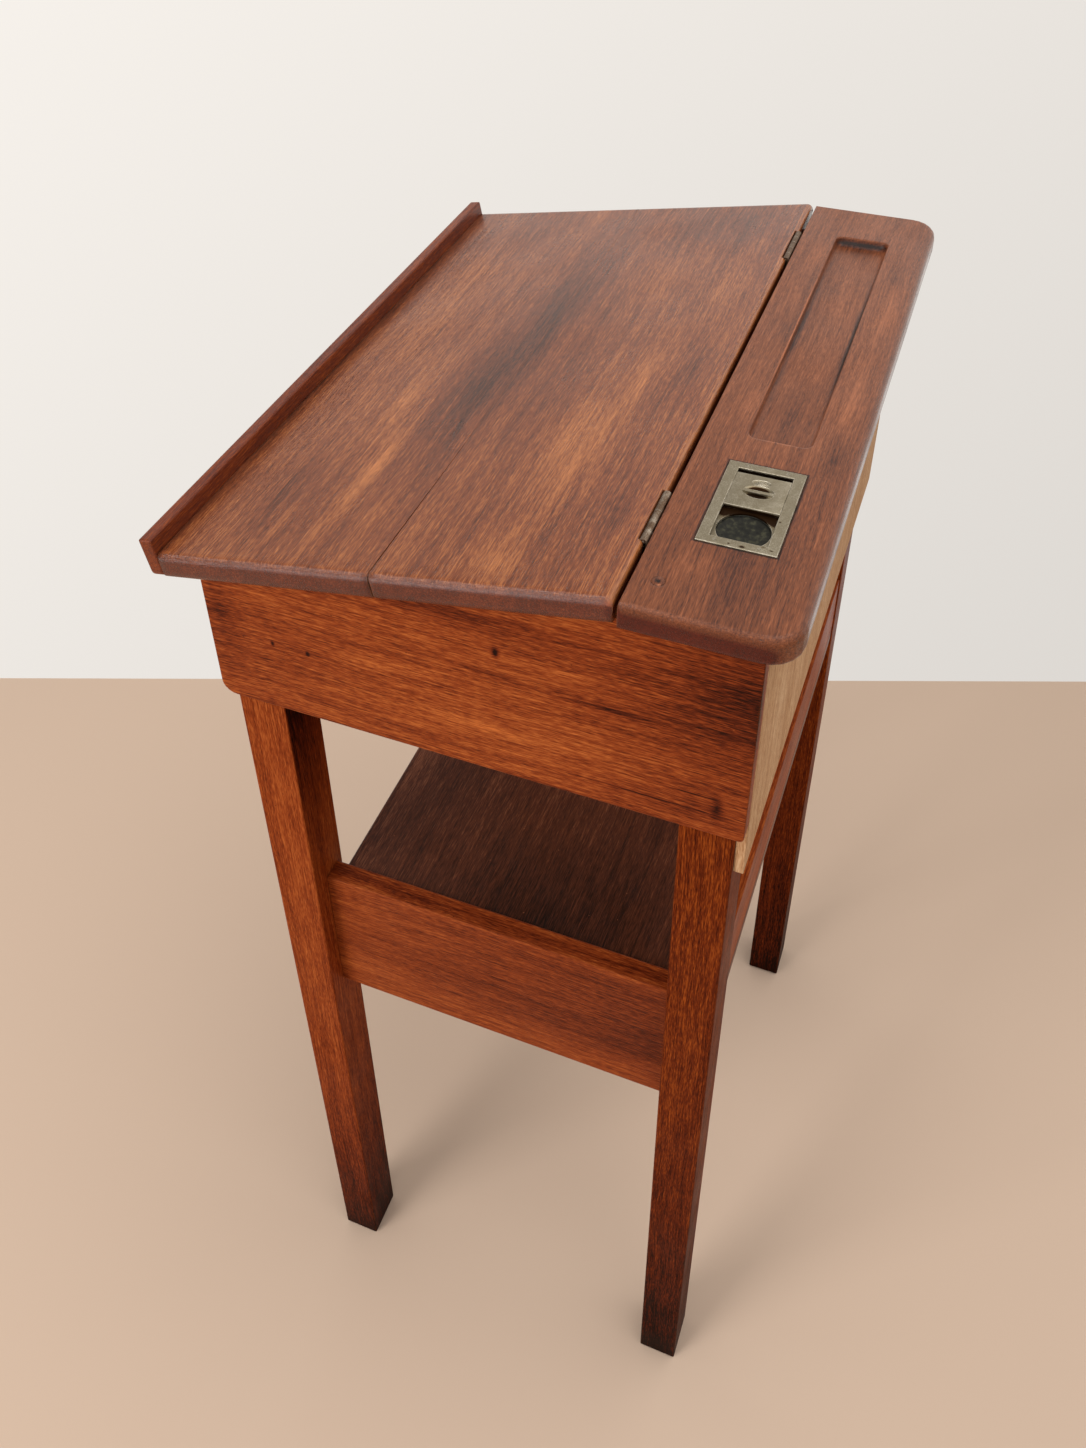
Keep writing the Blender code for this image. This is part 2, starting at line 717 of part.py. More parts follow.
def groove_cutter():
    """The pen groove: a softened arris, a short upright wall and a cove down to a flat floor."""
    rings = [
        groove_ring(-GROOVE_ARRIS, BOARD_TOP + OVERRUN),
        groove_ring(-GROOVE_ARRIS, BOARD_TOP),
        groove_ring(0, BOARD_TOP - GROOVE_ARRIS),
    ]
    for step in range(CORNER_STEPS + 1):
        angle = math.pi / 2 * step / CORNER_STEPS
        z = BOARD_TOP - GROOVE_DEPTH + GROOVE_COVE * (1 - math.sin(angle))
        rings.append(groove_ring(GROOVE_COVE * (1 - math.cos(angle)), z))
    return add_cutter("groove_cutter", loft(rings))


def well_pocket_cutter():
    gap = SEAT_GAP
    outline = rectangle(WELL_FAR - gap, WELL_NEAR + gap, WELL_FRONT - gap, WELL_BACK + gap)
    return add_cutter("well_pocket_cutter", extrude(outline, "Z", POCKET_FLOOR, BOARD_TOP + OVERRUN))


def pot_cutter():
    """The stepped hole through the board: a seat for the pot's flange over a bore for its body."""
    profile = [
        (0, POCKET_FLOOR + OVERRUN),
        (FLANGE_RADIUS + SEAT_GAP, POCKET_FLOOR + OVERRUN),
        (FLANGE_RADIUS + SEAT_GAP, FLANGE_UNDERSIDE - SEAT_GAP),
        (POT_OUTER + SEAT_GAP, FLANGE_UNDERSIDE - SEAT_GAP),
        (POT_OUTER + SEAT_GAP, BOARD_UNDERSIDE - OVERRUN),
        (0, BOARD_UNDERSIDE - OVERRUN),
    ]
    return add_cutter("pot_cutter", turn(profile, (HOLE_X, WELL_MIDDLE), TURN_STEPS))


def plug_place():
    return HALF_WIDTH - PLUG_END_MARGIN, BOARD_FRONT + PLUG_FRONT_MARGIN


def plug_cutter():
    radius = PLUG_RADIUS + SEAT_GAP
    floor = BOARD_TOP - PLUG_DEPTH - SEAT_GAP
    profile = [(0, BOARD_TOP + OVERRUN), (radius, BOARD_TOP + OVERRUN), (radius, floor), (0, floor)]
    return add_cutter("plug_cutter", turn(profile, plug_place(), SMALL_TURN_STEPS))


def make_plug(wood):
    floor = BOARD_TOP - PLUG_DEPTH
    profile = [(0, BOARD_TOP), (PLUG_RADIUS, BOARD_TOP), (PLUG_RADIUS, floor), (0, floor)]
    mesh = turn(profile, plug_place(), SMALL_TURN_STEPS)
    return add_object("screw_plug", mesh, wood, origin=(*plug_place(), floor), smooth=True)


def nose_stations():
    """Places along X of the lid's sections, with how far each is rounded over: (x, share)."""
    stations = []
    for step in range(NOSE_STEPS + 1):
        angle = math.pi / 2 * (1 - step / NOSE_STEPS)
        stations.append((HALF_WIDTH - LID_NOSE_RUN * (1 - math.sin(angle)), 1 - math.cos(angle)))
    left = [(-x, share) for x, share in stations]
    crack = [(HALF_WIDTH - CRACK_LENGTH, 0)]
    return left + crack + list(reversed(stations))


def rounded_over(point, share):
    """A point of the lid's section, drawn in towards the middle of its thickness by the nose at its ends."""
    run, height = point
    foot = LID_FOOT + LID_FOOT_DROP * share
    head = LID_HEAD - LID_NOSE_DROP * share
    return run, foot + (height - LID_FOOT) * (head - foot) / LID_THICKNESS


def lid_plank(name, section_at, wood, parent):
    rings = []
    for x, share in nose_stations():
        outline = [rounded_over(point, share) for point in section_at(x)]
        rings.append(flat_ring(outline, "X", x))
    return add_object(name, loft(rings), wood, parent=parent, smooth=True)


def rear_section(_):
    """The rear plank's section, the same at every x: plumb rear face, rounded over to the top."""
    drop = LID_REAR_ROUND_DROP
    outline = []
    for step in range(NOSE_STEPS + 1):
        angle = math.pi / 2 * step / NOSE_STEPS
        y = LID_ARRIS_Y + LID_REAR_ROUND_RUN * math.sin(angle)
        outline.append(lid_frame(y, LID_ARRIS_Z - drop * (1 - math.cos(angle))))
    plumb = (LID_FOOT + (LID_REAR_FACE - AXIS_Y) * SIN_SLOPE) / COS_SLOPE
    outline.append(lid_frame(LID_REAR_FACE, AXIS_Z + plumb))
    outline += [(JOINT_RUN, LID_FOOT), (JOINT_RUN, LID_HEAD)]
    return outline


def front_section(x):
    """The front plank's section. Its joint has opened towards the right end."""
    opened = max(0, x - HALF_WIDTH + CRACK_LENGTH) / CRACK_LENGTH
    rear = JOINT_RUN - SEAT_GAP - CRACK_WIDTH * opened
    front = LEDGE_FACE_RUN + SEAT_GAP
    return [(rear, LID_HEAD), (rear, LID_FOOT), (front, LID_FOOT), (front, LID_HEAD)]


def make_ledge(wood, parent):
    """The ledge across the lid's front edge, with its lower corners rounded off."""
    low = LID_FOOT
    high = LID_HEAD + LEDGE_STAND
    foot = LEDGE_FOOT_RADIUS
    head = LEDGE_HEAD_RADIUS
    outline = (
        corner(-HALF_WIDTH + foot, low + foot, foot, foot, math.pi)
        + corner(HALF_WIDTH - foot, low + foot, foot, foot, math.pi * 1.5)
        + corner(HALF_WIDTH - head, high - head, head, head, 0)
        + corner(-HALF_WIDTH + head, high - head, head, head, math.pi / 2)
    )
    mesh = extrude(outline, "Y", LEDGE_FACE_RUN - LEDGE_THICKNESS, LEDGE_FACE_RUN)
    ledge = add_object("book_ledge", mesh, wood, parent=parent)
    round_arrises(ledge, LEDGE_ARRIS, 3)
    return ledge


def hinge_recess_cutter(name, middle):
    """The housing in the lid's rear edge that takes the folded hinge and its barrel."""
    half = HINGE_LENGTH / 2 + SEAT_GAP
    back = AXIS_Y - BARREL_RADIUS - SEAT_GAP
    low = AXIS_Z - LEAF_WIDTH - SEAT_GAP
    outline = rectangle(back, LID_REAR_FACE + OVERRUN, low, LID_ARRIS_Z + OVERRUN)
    return add_cutter(name, extrude(outline, "X", middle - half, middle + half))


def knuckle_span(index):
    """Where one knuckle starts and ends along the pin, with half a gap at each side of it."""
    pitch = HINGE_LENGTH / KNUCKLES
    start = -HINGE_LENGTH / 2 + pitch * index
    return start + SEAT_GAP / 2, start + pitch - SEAT_GAP / 2


def leaf_outline(own):
    """The leaf laid flat: a plate with a tab for each of its own knuckles, notched for the other's."""
    notch = -BARREL_RADIUS - SEAT_GAP
    low, _ = knuckle_span(0)
    _, high = knuckle_span(KNUCKLES - 1)
    outline = [(high, -LEAF_WIDTH), (low, -LEAF_WIDTH)]
    for index in range(KNUCKLES):
        start, end = knuckle_span(index)
        if index in own:
            outline += [(start, notch), (start, 0), (end, 0), (end, notch)]
        elif index == 0:
            outline += [(start, notch)]
        elif index == KNUCKLES - 1:
            outline += [(end, notch)]
    return [point for place, point in enumerate(outline) if point not in outline[:place]]


def make_leaf(name, middle, side, own, steel, parent=None):
    """A hinge leaf folded plumb, its tabs rolled round the pin. Side is 1 on the board and -1 on the lid."""
    near = side * (BARREL_RADIUS - LEAF_THICKNESS)
    far = side * BARREL_RADIUS
    mesh = extrude(leaf_outline(own), "Y", near, far)
    tabs = []
    for face in mesh.faces:
        if all(abs(vert.co.z) < SEAT_GAP / 10 for vert in face.verts):
            tabs.append(face)
    for tab in tabs:
        bmesh.ops.spin(
            mesh,
            geom=[tab, *tab.edges, *tab.verts],
            cent=(0, 0, 0),
            axis=(side, 0, 0),
            angle=KNUCKLE_ROLL,
            steps=ROLL_STEPS,
        )
    bmesh.ops.remove_doubles(mesh, verts=mesh.verts, dist=SEAT_GAP / 10)
    inner = [face for face in tabs if face.is_valid]
    bmesh.ops.delete(mesh, geom=inner, context="FACES_ONLY")
    bmesh.ops.recalc_face_normals(mesh, faces=mesh.faces)
    leaf = add_object(name, mesh, steel, parent=parent, smooth=True)
    leaf.location = (middle, 0, 0) if parent else (middle, AXIS_Y, AXIS_Z)
    if parent:
        leaf.rotation_euler.x = -LID_SLOPE
    return leaf


def make_hinge_pin(name, middle, steel):
    half = HINGE_LENGTH / 2
    profile = [
        (0, half),
        (PIN_RADIUS - PIN_ROUND, half),
        (PIN_RADIUS, half - PIN_ROUND),
        (PIN_RADIUS, -half + PIN_ROUND),
        (PIN_RADIUS - PIN_ROUND, -half),
        (0, -half),
    ]
    pin = add_object(name, turn(profile, (0, 0), SMALL_TURN_STEPS), steel, smooth=True)
    pin.rotation_euler.y = math.pi / 2
    pin.location = (middle, AXIS_Y, AXIS_Z)
    return pin


def make_hinge(prefix, side, lid, lid_plank_object, steel):
    middle = side * (HALF_WIDTH - HINGE_END_MARGIN - HINGE_LENGTH / 2)
    board_knuckles = range(0, KNUCKLES, 2)
    lid_knuckles = range(1, KNUCKLES, 2)
    make_leaf(f"{prefix}_board_leaf", middle, 1, board_knuckles, steel)
    make_leaf(f"{prefix}_lid_leaf", middle, -1, lid_knuckles, steel, parent=lid)
    make_hinge_pin(f"{prefix}_pin", middle, steel)
    cut(lid_plank_object, hinge_recess_cutter(f"{prefix}_recess_cutter", middle))


def window_outline(grow_u=0, grow_v=0):
    return rectangle(
        WINDOW_FAR - grow_u,
        WINDOW_NEAR + grow_u,
        WELL_MIDDLE - WINDOW_HALF - grow_v,
        WELL_MIDDLE + WINDOW_HALF + grow_v,
    )


def rivet_places():
    far = WELL_FAR + FRAME_FAR_BORDER / 2
    near = WELL_NEAR - FRAME_NEAR_BORDER / 2
    places = {}
    for end, x in (("far", far), ("near", near)):
        places[f"{end}_front"] = (x, WELL_MIDDLE - RIVET_SPREAD / 2)
        places[f"{end}_back"] = (x, WELL_MIDDLE + RIVET_SPREAD / 2)
    return places


def rivet_cutter(name, place):
    radius = RIVET_RADIUS + SEAT_GAP
    high = FRAME_TOP + OVERRUN
    low = BASE_UNDERSIDE - OVERRUN
    profile = [(0, high), (radius, high), (radius, low), (0, low)]
    return add_cutter(name, turn(profile, place, SMALL_TURN_STEPS))


def make_rivet(name, place, brass):
    radius = RIVET_RADIUS
    profile = [(0, FRAME_TOP), (radius, FRAME_TOP), (radius, BASE_UNDERSIDE), (0, BASE_UNDERSIDE)]
    mesh = turn(profile, place, SMALL_TURN_STEPS)
    return add_object(name, mesh, brass, origin=(*place, BASE_UNDERSIDE), smooth=True)


def make_well_frame(brass):
    """The plate's upper layer: four borders round a window."""
    outline = rectangle(WELL_FAR, WELL_NEAR, WELL_FRONT, WELL_BACK)
    mesh = extrude(outline, "Z", FRAME_UNDERSIDE, FRAME_TOP)
    origin = (WELL_CENTRE_X, WELL_MIDDLE, FRAME_UNDERSIDE)
    frame = add_object("inkwell_frame", mesh, brass, origin=origin)
    window = extrude(window_outline(), "Z", FRAME_UNDERSIDE - OVERRUN, FRAME_TOP + OVERRUN)
    cut(frame, add_cutter("window_cutter", window))
    round_arrises(frame, WELL_ARRIS, 1)
    return frame


def make_well_base(brass):
    """The plate's lower layer: a channel for the cover's tongues, and the round mouth of the well."""
    outline = rectangle(WELL_FAR, WELL_NEAR, WELL_FRONT, WELL_BACK)
    mesh = extrude(outline, "Z", BASE_UNDERSIDE, BASE_TOP)
    base = add_object("inkwell_base", mesh, brass, origin=(WELL_CENTRE_X, WELL_MIDDLE, BASE_UNDERSIDE))
    channel = window_outline(0, TONGUE_REACH + SEAT_GAP)
    cut(base, add_cutter("channel_cutter", extrude(channel, "Z", CHANNEL_FLOOR, BASE_TOP + OVERRUN)))
    high = CHANNEL_FLOOR + CHANNEL_DEPTH / 2
    low = BASE_UNDERSIDE - OVERRUN
    mouth = [(0, high), (HOLE_RADIUS, high), (HOLE_RADIUS, low), (0, low)]
    cut(base, add_cutter("mouth_cutter", turn(mouth, (HOLE_X, WELL_MIDDLE), TURN_STEPS)))
    return base


def grip_outline(side):
    """One crescent of the finger grip, bulging away from the rib between the two."""
    middle = COVER_FAR + COVER_LENGTH / 2
    outline = []
    for bulge, direction in ((GRIP_OUTER_BULGE, 1), (GRIP_INNER_BULGE, -1)):
        for step in range(GRIP_STEPS):
            share = direction * (2 * step / GRIP_STEPS - 1)
            x = middle + side * (GRIP_RIB / 2 + bulge * (1 - share * share))
            outline.append((x, WELL_MIDDLE + GRIP_LENGTH / 2 * share))
    return outline


def make_cover(brass):
    """The sliding cover: a tablet in the window, with tongues that run in the channel under the frame."""
    low = CHANNEL_FLOOR + SEAT_GAP
    step = FRAME_UNDERSIDE - SEAT_GAP
    high = FRAME_TOP - COVER_DROP
    body = WINDOW_HALF - SEAT_GAP
    wing = WINDOW_HALF + TONGUE_REACH
    right = [(wing, low), (wing, step), (body, step), (body, high)]
    left = [(-y, z) for y, z in reversed(right)]
    outline = [(WELL_MIDDLE + y, z) for y, z in right + left]
    mesh = extrude(outline, "X", COVER_FAR, COVER_FAR + COVER_LENGTH)
    cover = add_object("inkwell_cover", mesh, brass, origin=(COVER_FAR, WELL_MIDDLE, low))
    round_arrises(cover, WELL_ARRIS, 1)
    for name, side in (("far_grip_cutter", -1), ("near_grip_cutter", 1)):
        grip = extrude(grip_outline(side), "Z", high - GRIP_DEPTH, high + OVERRUN)
        cut(cover, add_cutter(name, grip))
    return cover


def make_pot(glaze):
    """The ink pot, turned, hanging from its flange in the board."""
    floor = POCKET_FLOOR - POT_DEPTH
    profile = [
        (0, floor + POT_WALL),
        (POT_INNER - POT_WALL, floor + POT_WALL),
        (POT_INNER, floor + POT_WALL + POT_WALL),
        (POT_INNER, POCKET_FLOOR),
        (FLANGE_RADIUS, POCKET_FLOOR),
        (FLANGE_RADIUS, FLANGE_UNDERSIDE),
        (POT_OUTER, FLANGE_UNDERSIDE),
        (POT_OUTER, floor + POT_WALL),
        (POT_OUTER - POT_WALL, floor),
        (0, floor),
    ]
    mesh = turn(profile, (HOLE_X, WELL_MIDDLE), TURN_STEPS)
    return add_object("ink_pot", mesh, glaze, origin=(HOLE_X, WELL_MIDDLE, floor), smooth=True)


def make_inkwell(brass, glaze):
    frame = make_well_frame(brass)
    base = make_well_base(brass)
    make_cover(brass)
    make_pot(glaze)
    for label, place in rivet_places().items():
        make_rivet(f"rivet_{label}", place, brass)
        hole = rivet_cutter(f"rivet_{label}_cutter", place)
        cut(frame, hole)
        cut(base, hole)


def make_stand(stained, dark, bare):
    for word, side in SIDES.items():
        make_leg(f"leg_front_{word}", side, False, stained)
        make_leg(f"leg_back_{word}", side, True, stained)
        make_stretcher(f"stretcher_{word}", side, stained)
        make_side_panel(f"side_panel_{word}", side, stained)
        outer = PANEL_INNER - SEAT_GAP
        make_cleat(f"floor_cleat_{word}", side, outer, CLEAT_WIDTH, BOX_BOTTOM, CLEAT_TOP, 0, stained)
        head = SHELF_UNDERSIDE - SEAT_GAP
        make_cleat(
            f"shelf_cleat_{word}",
            side,
            STRETCHER_INNER - SEAT_GAP,
            SHELF_CLEAT_WIDTH,
            head - SHELF_CLEAT_HEIGHT,
            head,
            SHELF_FRONT_SETBACK + SHELF_CLEAT_MARGIN,
            stained,
        )
    make_front_panel(stained)
    make_back_panel(bare)
    make_box_floor(bare)
    make_shelf(dark)
    make_rail(stained)


def make_lid(wood, steel):
    """The lid turns about the hinge pins, so its pieces hang from an empty on that line."""
    lid = bpy.data.objects.new("lid_axis", None)
    lid.location = (0, AXIS_Y, AXIS_Z)
    lid.rotation_euler.x = LID_SLOPE
    bpy.context.scene.collection.objects.link(lid)
    rear = lid_plank("lid_rear_plank", rear_section, wood, lid)
    lid_plank("lid_front_plank", front_section, wood, lid)
    make_ledge(wood, lid)
    for word, side in SIDES.items():
        make_hinge(f"hinge_{word}", side, lid, rear, steel)


def main():
    clear_scene()
    stained = make_material("stained_mahogany", (0.165, 0.042, 0.014), 0.42)
    top = make_material("worn_mahogany_top", (0.180, 0.066, 0.032), 0.45)
    dark = make_material("dark_shelf_wood", (0.060, 0.020, 0.010), 0.5)
    bare = make_material("bare_back_wood", (0.360, 0.205, 0.120), 0.75)
    steel = make_material("worn_steel", (0.090, 0.075, 0.070), 0.45, 0.9)
    brass = make_material("tarnished_brass", (0.270, 0.250, 0.190), 0.42, 0.9)
    glaze = make_material("inked_stoneware", (0.055, 0.055, 0.050), 0.6)
    make_stand(stained, dark, bare)
    make_pen_board(top)
    make_plug(top)
    make_lid(top, steel)
    make_inkwell(brass, glaze)


main()
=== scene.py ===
"""A high writing desk: its timbers, hinges and inkwell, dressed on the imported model."""

import math

import bmesh
import bpy
from bpy.props import FloatProperty, FloatVectorProperty, PointerProperty
from mathutils import Matrix, Vector


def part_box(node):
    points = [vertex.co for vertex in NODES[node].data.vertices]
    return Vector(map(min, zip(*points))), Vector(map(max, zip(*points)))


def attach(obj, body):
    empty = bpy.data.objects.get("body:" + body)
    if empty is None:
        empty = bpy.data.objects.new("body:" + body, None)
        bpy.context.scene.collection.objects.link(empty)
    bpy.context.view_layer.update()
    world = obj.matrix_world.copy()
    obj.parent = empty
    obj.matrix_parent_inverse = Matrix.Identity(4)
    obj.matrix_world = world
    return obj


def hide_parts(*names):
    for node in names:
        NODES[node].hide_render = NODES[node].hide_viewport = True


bl_info = {
    "name": "High Writing Desk",
    "version": (1, 0, 0),
    "blender": (4, 5, 0),
    "location": "3D View > Sidebar > Writing Desk",
    "description": "Finishes a high writing desk in stained mahogany, worn steel and tarnished brass",
    "category": "Object",
}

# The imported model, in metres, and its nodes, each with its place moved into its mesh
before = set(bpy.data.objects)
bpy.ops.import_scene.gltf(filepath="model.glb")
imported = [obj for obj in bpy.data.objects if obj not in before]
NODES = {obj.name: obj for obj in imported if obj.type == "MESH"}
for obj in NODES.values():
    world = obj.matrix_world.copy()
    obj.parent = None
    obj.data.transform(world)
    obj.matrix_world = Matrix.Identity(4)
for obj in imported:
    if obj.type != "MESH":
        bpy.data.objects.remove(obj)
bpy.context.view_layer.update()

# The lid's slope, and the arris along its rear edge
LID_SLOPE = math.radians(10.67)
LID_ARRIS = Vector((0.0, 0.11845, 1.147))

# Where the hinge leaves lie: the faces that the screw heads sit on, between lid and board
BOARD_LEAF_FACE = 0.12435
LID_LEAF_FACE = 0.12115

# A Mix node's sockets: its share, two colours, two numbers, and the colour that comes out
SHARE, COLOUR_A, COLOUR_B, NUMBER_A, NUMBER_B, COLOUR_OUT = 0, 6, 7, 2, 3, 2


def linear(text):
    """The linear colour of an sRGB hex value, as Blender's sockets take it."""
    values = []
    for place in (1, 3, 5):
        share = int(text[place:place + 2], 16) / 255
        values.append(share / 12.92 if share <= 0.04045 else ((share + 0.055) / 1.055) ** 2.4)
    return (*values, 1.0)


def add(tree, kind, feeds=(), stops=(), **settings):
    """Adds a node with its settings. Feeds give each socket a value, or the output that goes into it."""
    node = tree.nodes.new("ShaderNode" + kind)
    for name, value in settings.items():
        setattr(node, name, value)
    for key, value in dict(feeds).items():
        if isinstance(value, bpy.types.Node):
            value = value.outputs[0]
        if isinstance(value, bpy.types.NodeSocket):
            tree.links.new(value, node.inputs[key])
        else:
            node.inputs[key].default_value = value
    for index, (place, colour) in enumerate(stops):
        ramp = node.color_ramp.elements
        element = ramp[index] if index < len(ramp) else ramp.new(place)
        element.position = place
        element.color = colour
    return node


def new_material(name):
    """A material with an empty Principled shader, and its node tree."""
    material = bpy.data.materials.new(name)
    material.use_nodes = True
    tree = material.node_tree
    return material, tree, tree.nodes["Principled BSDF"]


def dress(names, material):
    """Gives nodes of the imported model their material."""
    for name in names:
        NODES[name].material_slots[0].material = material


# Marks on a surface

# Each mark has its middle, its reach along each axis, and how strongly it lightens, above zero, or
# darkens, below zero. It fades out towards its reach. ALL reaches past the desk: along one axis it
# makes a bar, and along two a sheet.
ALL = 9.0

# Paler and darker clouds, then the dark band beside the joint
LID_REAR_MARKS = (
    ((0.150, 0.042, 1.132), (0.120, 0.075, 0.05), 0.26),
    ((0.100, 0.030, 1.132), (0.200, 0.030, 0.05), 0.25),
    ((0.050, 0.060, 1.134), (0.150, 0.020, 0.04), 0.30),
    ((-0.150, 0.020, 1.128), (0.160, 0.030, 0.05), 0.30),
    ((-0.120, 0.080, 1.139), (0.120, 0.020, 0.04), 0.30),
    ((0.280, 0.030, 1.130), (0.050, 0.050, 0.05), 0.35),
    ((0.220, 0.095, 1.142), (0.080, 0.020, 0.05), -0.35),
    ((0.020, 0.095, 1.142), (0.100, 0.018, 0.05), -0.30),
    ((-0.260, 0.060, 1.134), (0.120, 0.120, 0.05), -0.35),
    ((-0.060, -0.052, 1.116), (0.280, 0.034, 0.05), -0.60),
    ((0.060, -0.062, 1.116), (0.240, 0.036, 0.05), -0.45),
)
# The same band, paler and darker clouds, then painted shade along the front edge, against the ledge
LID_FRONT_MARKS = (
    ((0.060, -0.076, 1.110), (0.200, 0.046, 0.05), -0.55),
    ((-0.080, -0.058, 1.113), (0.280, 0.036, 0.05), -0.60),
    ((0.180, -0.110, 1.104), (0.110, 0.020, 0.05), 0.65),
    ((0.080, -0.135, 1.099), (0.140, 0.024, 0.05), 0.40),
    ((-0.100, -0.170, 1.092), (0.180, 0.040, 0.05), 0.20),
    ((0.220, -0.170, 1.092), (0.100, 0.030, 0.05), -0.35),
    ((-0.250, -0.140, 1.098), (0.100, 0.080, 0.05), -0.20),
    # Painted shade against the ledge
    ((0.0, -0.232, 1.083), (ALL, 0.016, 0.05), -0.7),
)
# The rear edge, in painted light: a painted highlight on its arris, its face painted paler as if lit, and a
# painted highlight along the foot of that
LID_ARRIS_PAINTED_LIGHT = (
    ((0.0, 0.1183, 1.147), (ALL, 0.0009, 0.004), 0.5),
    ((0.0, 0.1210, 1.1440), (ALL, 0.0040, 0.0045), 1.3),
    ((0.0, 0.1205, 1.1422), (ALL, 0.0050, 0.0010), 1.6),
)
# Both ends, stained by hands, and painted shade on the foot of the rear edge, down in the hinge gap
LID_HANDLING_AND_SHADE = (
    ((0.3095, 0.0, 1.11), (0.0075, ALL, ALL), 1.9),
    ((-0.3095, 0.0, 1.11), (0.0075, ALL, ALL), 1.9),
    # Painted shade in the hinge gap
    ((0.0, 0.1225, 1.136), (ALL, 0.0060, 0.0065), 1.5),
)
# How much smoother the right end and the rear edge are rubbed
LID_SHINE = (
    ((0.3070, 0.0, 1.11), (0.0300, ALL, ALL), -0.17),
    ((0.0, 0.1200, 1.143), (ALL, 0.0080, 0.02), -0.12),
)
# How much rounder both ends and the rear edge are worn
LID_ROUNDING = (
    ((0.3070, 0.0, 1.11), (0.0220, ALL, ALL), 0.0090),
    ((-0.3070, 0.0, 1.11), (0.0220, ALL, ALL), 0.0090),
    ((0.0, 0.1200, 1.143), (ALL, 0.0080, 0.02), 0.0030),
)
BOARD_MARKS = (
    # Paler and darker clouds
    ((-0.120, 0.225, 1.146), (0.150, 0.020, 0.02), 0.35),
    ((0.030, 0.222, 1.146), (0.090, 0.014, 0.02), 0.40),
    ((0.260, 0.160, 1.146), (0.030, 0.030, 0.02), 0.30),
    ((0.182, 0.182, 1.147), (0.075, 0.050, 0.008), -0.60),
    ((0.250, 0.180, 1.146), (0.140, 0.090, 0.02), -0.35),
    ((-0.060, 0.150, 1.146), (0.060, 0.016, 0.02), -0.30),
    ((0.060, 0.150, 1.146), (0.050, 0.014, 0.02), 0.30),
    ((-0.200, 0.150, 1.146), (0.050, 0.016, 0.02), 0.30),
    ((-0.180, 0.222, 1.146), (0.050, 0.016, 0.02), -0.35),
    ((0.110, 0.225, 1.146), (0.060, 0.016, 0.02), -0.40),
    # Ink and dirt along the groove's walls and in its ends, with painted shade down in the groove, darkest on
    # its far end wall
    ((-0.245, 0.182, 1.141), (0.009, 0.120, 0.006), -1.4),
    ((0.060, 0.182, 1.139), (0.080, 0.030, 0.010), -0.35),
    ((-0.235, 0.182, 1.138), (0.030, 0.024, 0.01), -0.6),
    ((-0.072, 0.204, 1.141), (0.190, 0.0045, 0.007), -1.8),
    ((-0.072, 0.160, 1.140), (0.190, 0.004, 0.008), -0.9),
    ((0.098, 0.182, 1.140), (0.006, 0.024, 0.008), -1.1),
    # Painted highlights along the groove's arrises
    ((-0.072, 0.1578, 1.146), (0.190, 0.0015, 0.003), 1.8),
    ((0.1015, 0.1820, 1.146), (0.0015, 0.025, 0.003), 1.5),
    # The ring round the screw's plug
    ((0.278, 0.14425, 1.146), (0.0036, 0.0036, 0.003), -1.6),
    ((0.2815, 0.1455, 1.146), (0.0022, 0.0022, 0.003), 1.3),
)
# The right end and the rear edge, stained by hands, and painted shade on the front edge, down in the hinge
# gap
BOARD_HANDLING_AND_SHADE = (
    ((0.3095, 0.18, 1.130), (0.010, ALL, 0.018), 3.2),
    ((0.0, 0.2455, 1.130), (ALL, 0.009, 0.018), 1.8),
    # Painted shade in the hinge gap
    ((0.0, 0.1255, 1.136), (ALL, 0.004, 0.016), 1.8),
)
# How much smoother the right end and the rear edge are rubbed
BOARD_SHINE = (
    ((0.3070, 0.18, 1.14), (0.0200, ALL, ALL), -0.14),
    ((0.0, 0.2424, 1.14), (ALL, 0.0200, 0.04), -0.14),
)
# A knot, dark streaks, two nail holes, pale streaks, dirt at both ends, two fine splits, a painted
# shadow from the lid along the top edge, and darker rear corners. Each middle and reach is first
# along the panel and then up it.
SIDE_FACE = 0.297
SIDE_DEPTH = 0.02
SIDE_MARKS = [
    ((SIDE_FACE, y, z), (SIDE_DEPTH, along, up), strength)
    for (y, z), (along, up), strength in (
        ((0.0367, 1.0637), (0.0055, 0.0100), -1.4),
        ((0.0367, 1.0637), (0.0026, 0.0045), -1.2),
        ((0.120, 1.038), (0.060, 0.007), -0.8),
        ((0.030, 1.041), (0.050, 0.005), -0.5),
        ((-0.147, 1.011), (0.0030, 0.0045), -1.8),
        ((-0.117, 1.010), (0.0030, 0.0045), -1.8),
        ((-0.065, 1.017), (0.060, 0.012), 0.55),
        ((0.020, 0.985), (0.110, 0.014), 0.45),
        ((-0.190, 1.030), (0.030, 0.080), -0.5),
        ((0.200, 0.970), (0.008, 0.020), -0.9),
        ((0.150, 0.962), (0.080, 0.0016), -1.5),
        ((0.182, 0.978), (0.034, 0.0013), -1.5),
        # Painted shadow under the lid
        ((0.010, 1.090), (0.30, 0.020), -0.45),
        ((0.235, 1.070), (0.170, 0.140), -1.0),
        ((0.180, 0.960), (0.150, 0.050), -0.35),
    )
]
# Painted shade: darker towards the floor, and darkest at the feet
LEG_PAINTED_SHADE = (
    ((0.26, 0.0, 0.0), (ALL, ALL, 0.050), -0.3),
    ((0.26, 0.0, 0.0), (ALL, ALL, 0.700), -0.95),
)
# Paler at the left, and darker under the inkwell's end
SHELF_MARKS = (
    ((-0.200, 0.020, 0.676), (0.220, 0.300, 0.05), 0.50),
    ((0.240, 0.050, 0.676), (0.260, 0.300, 0.05), -0.80),
)
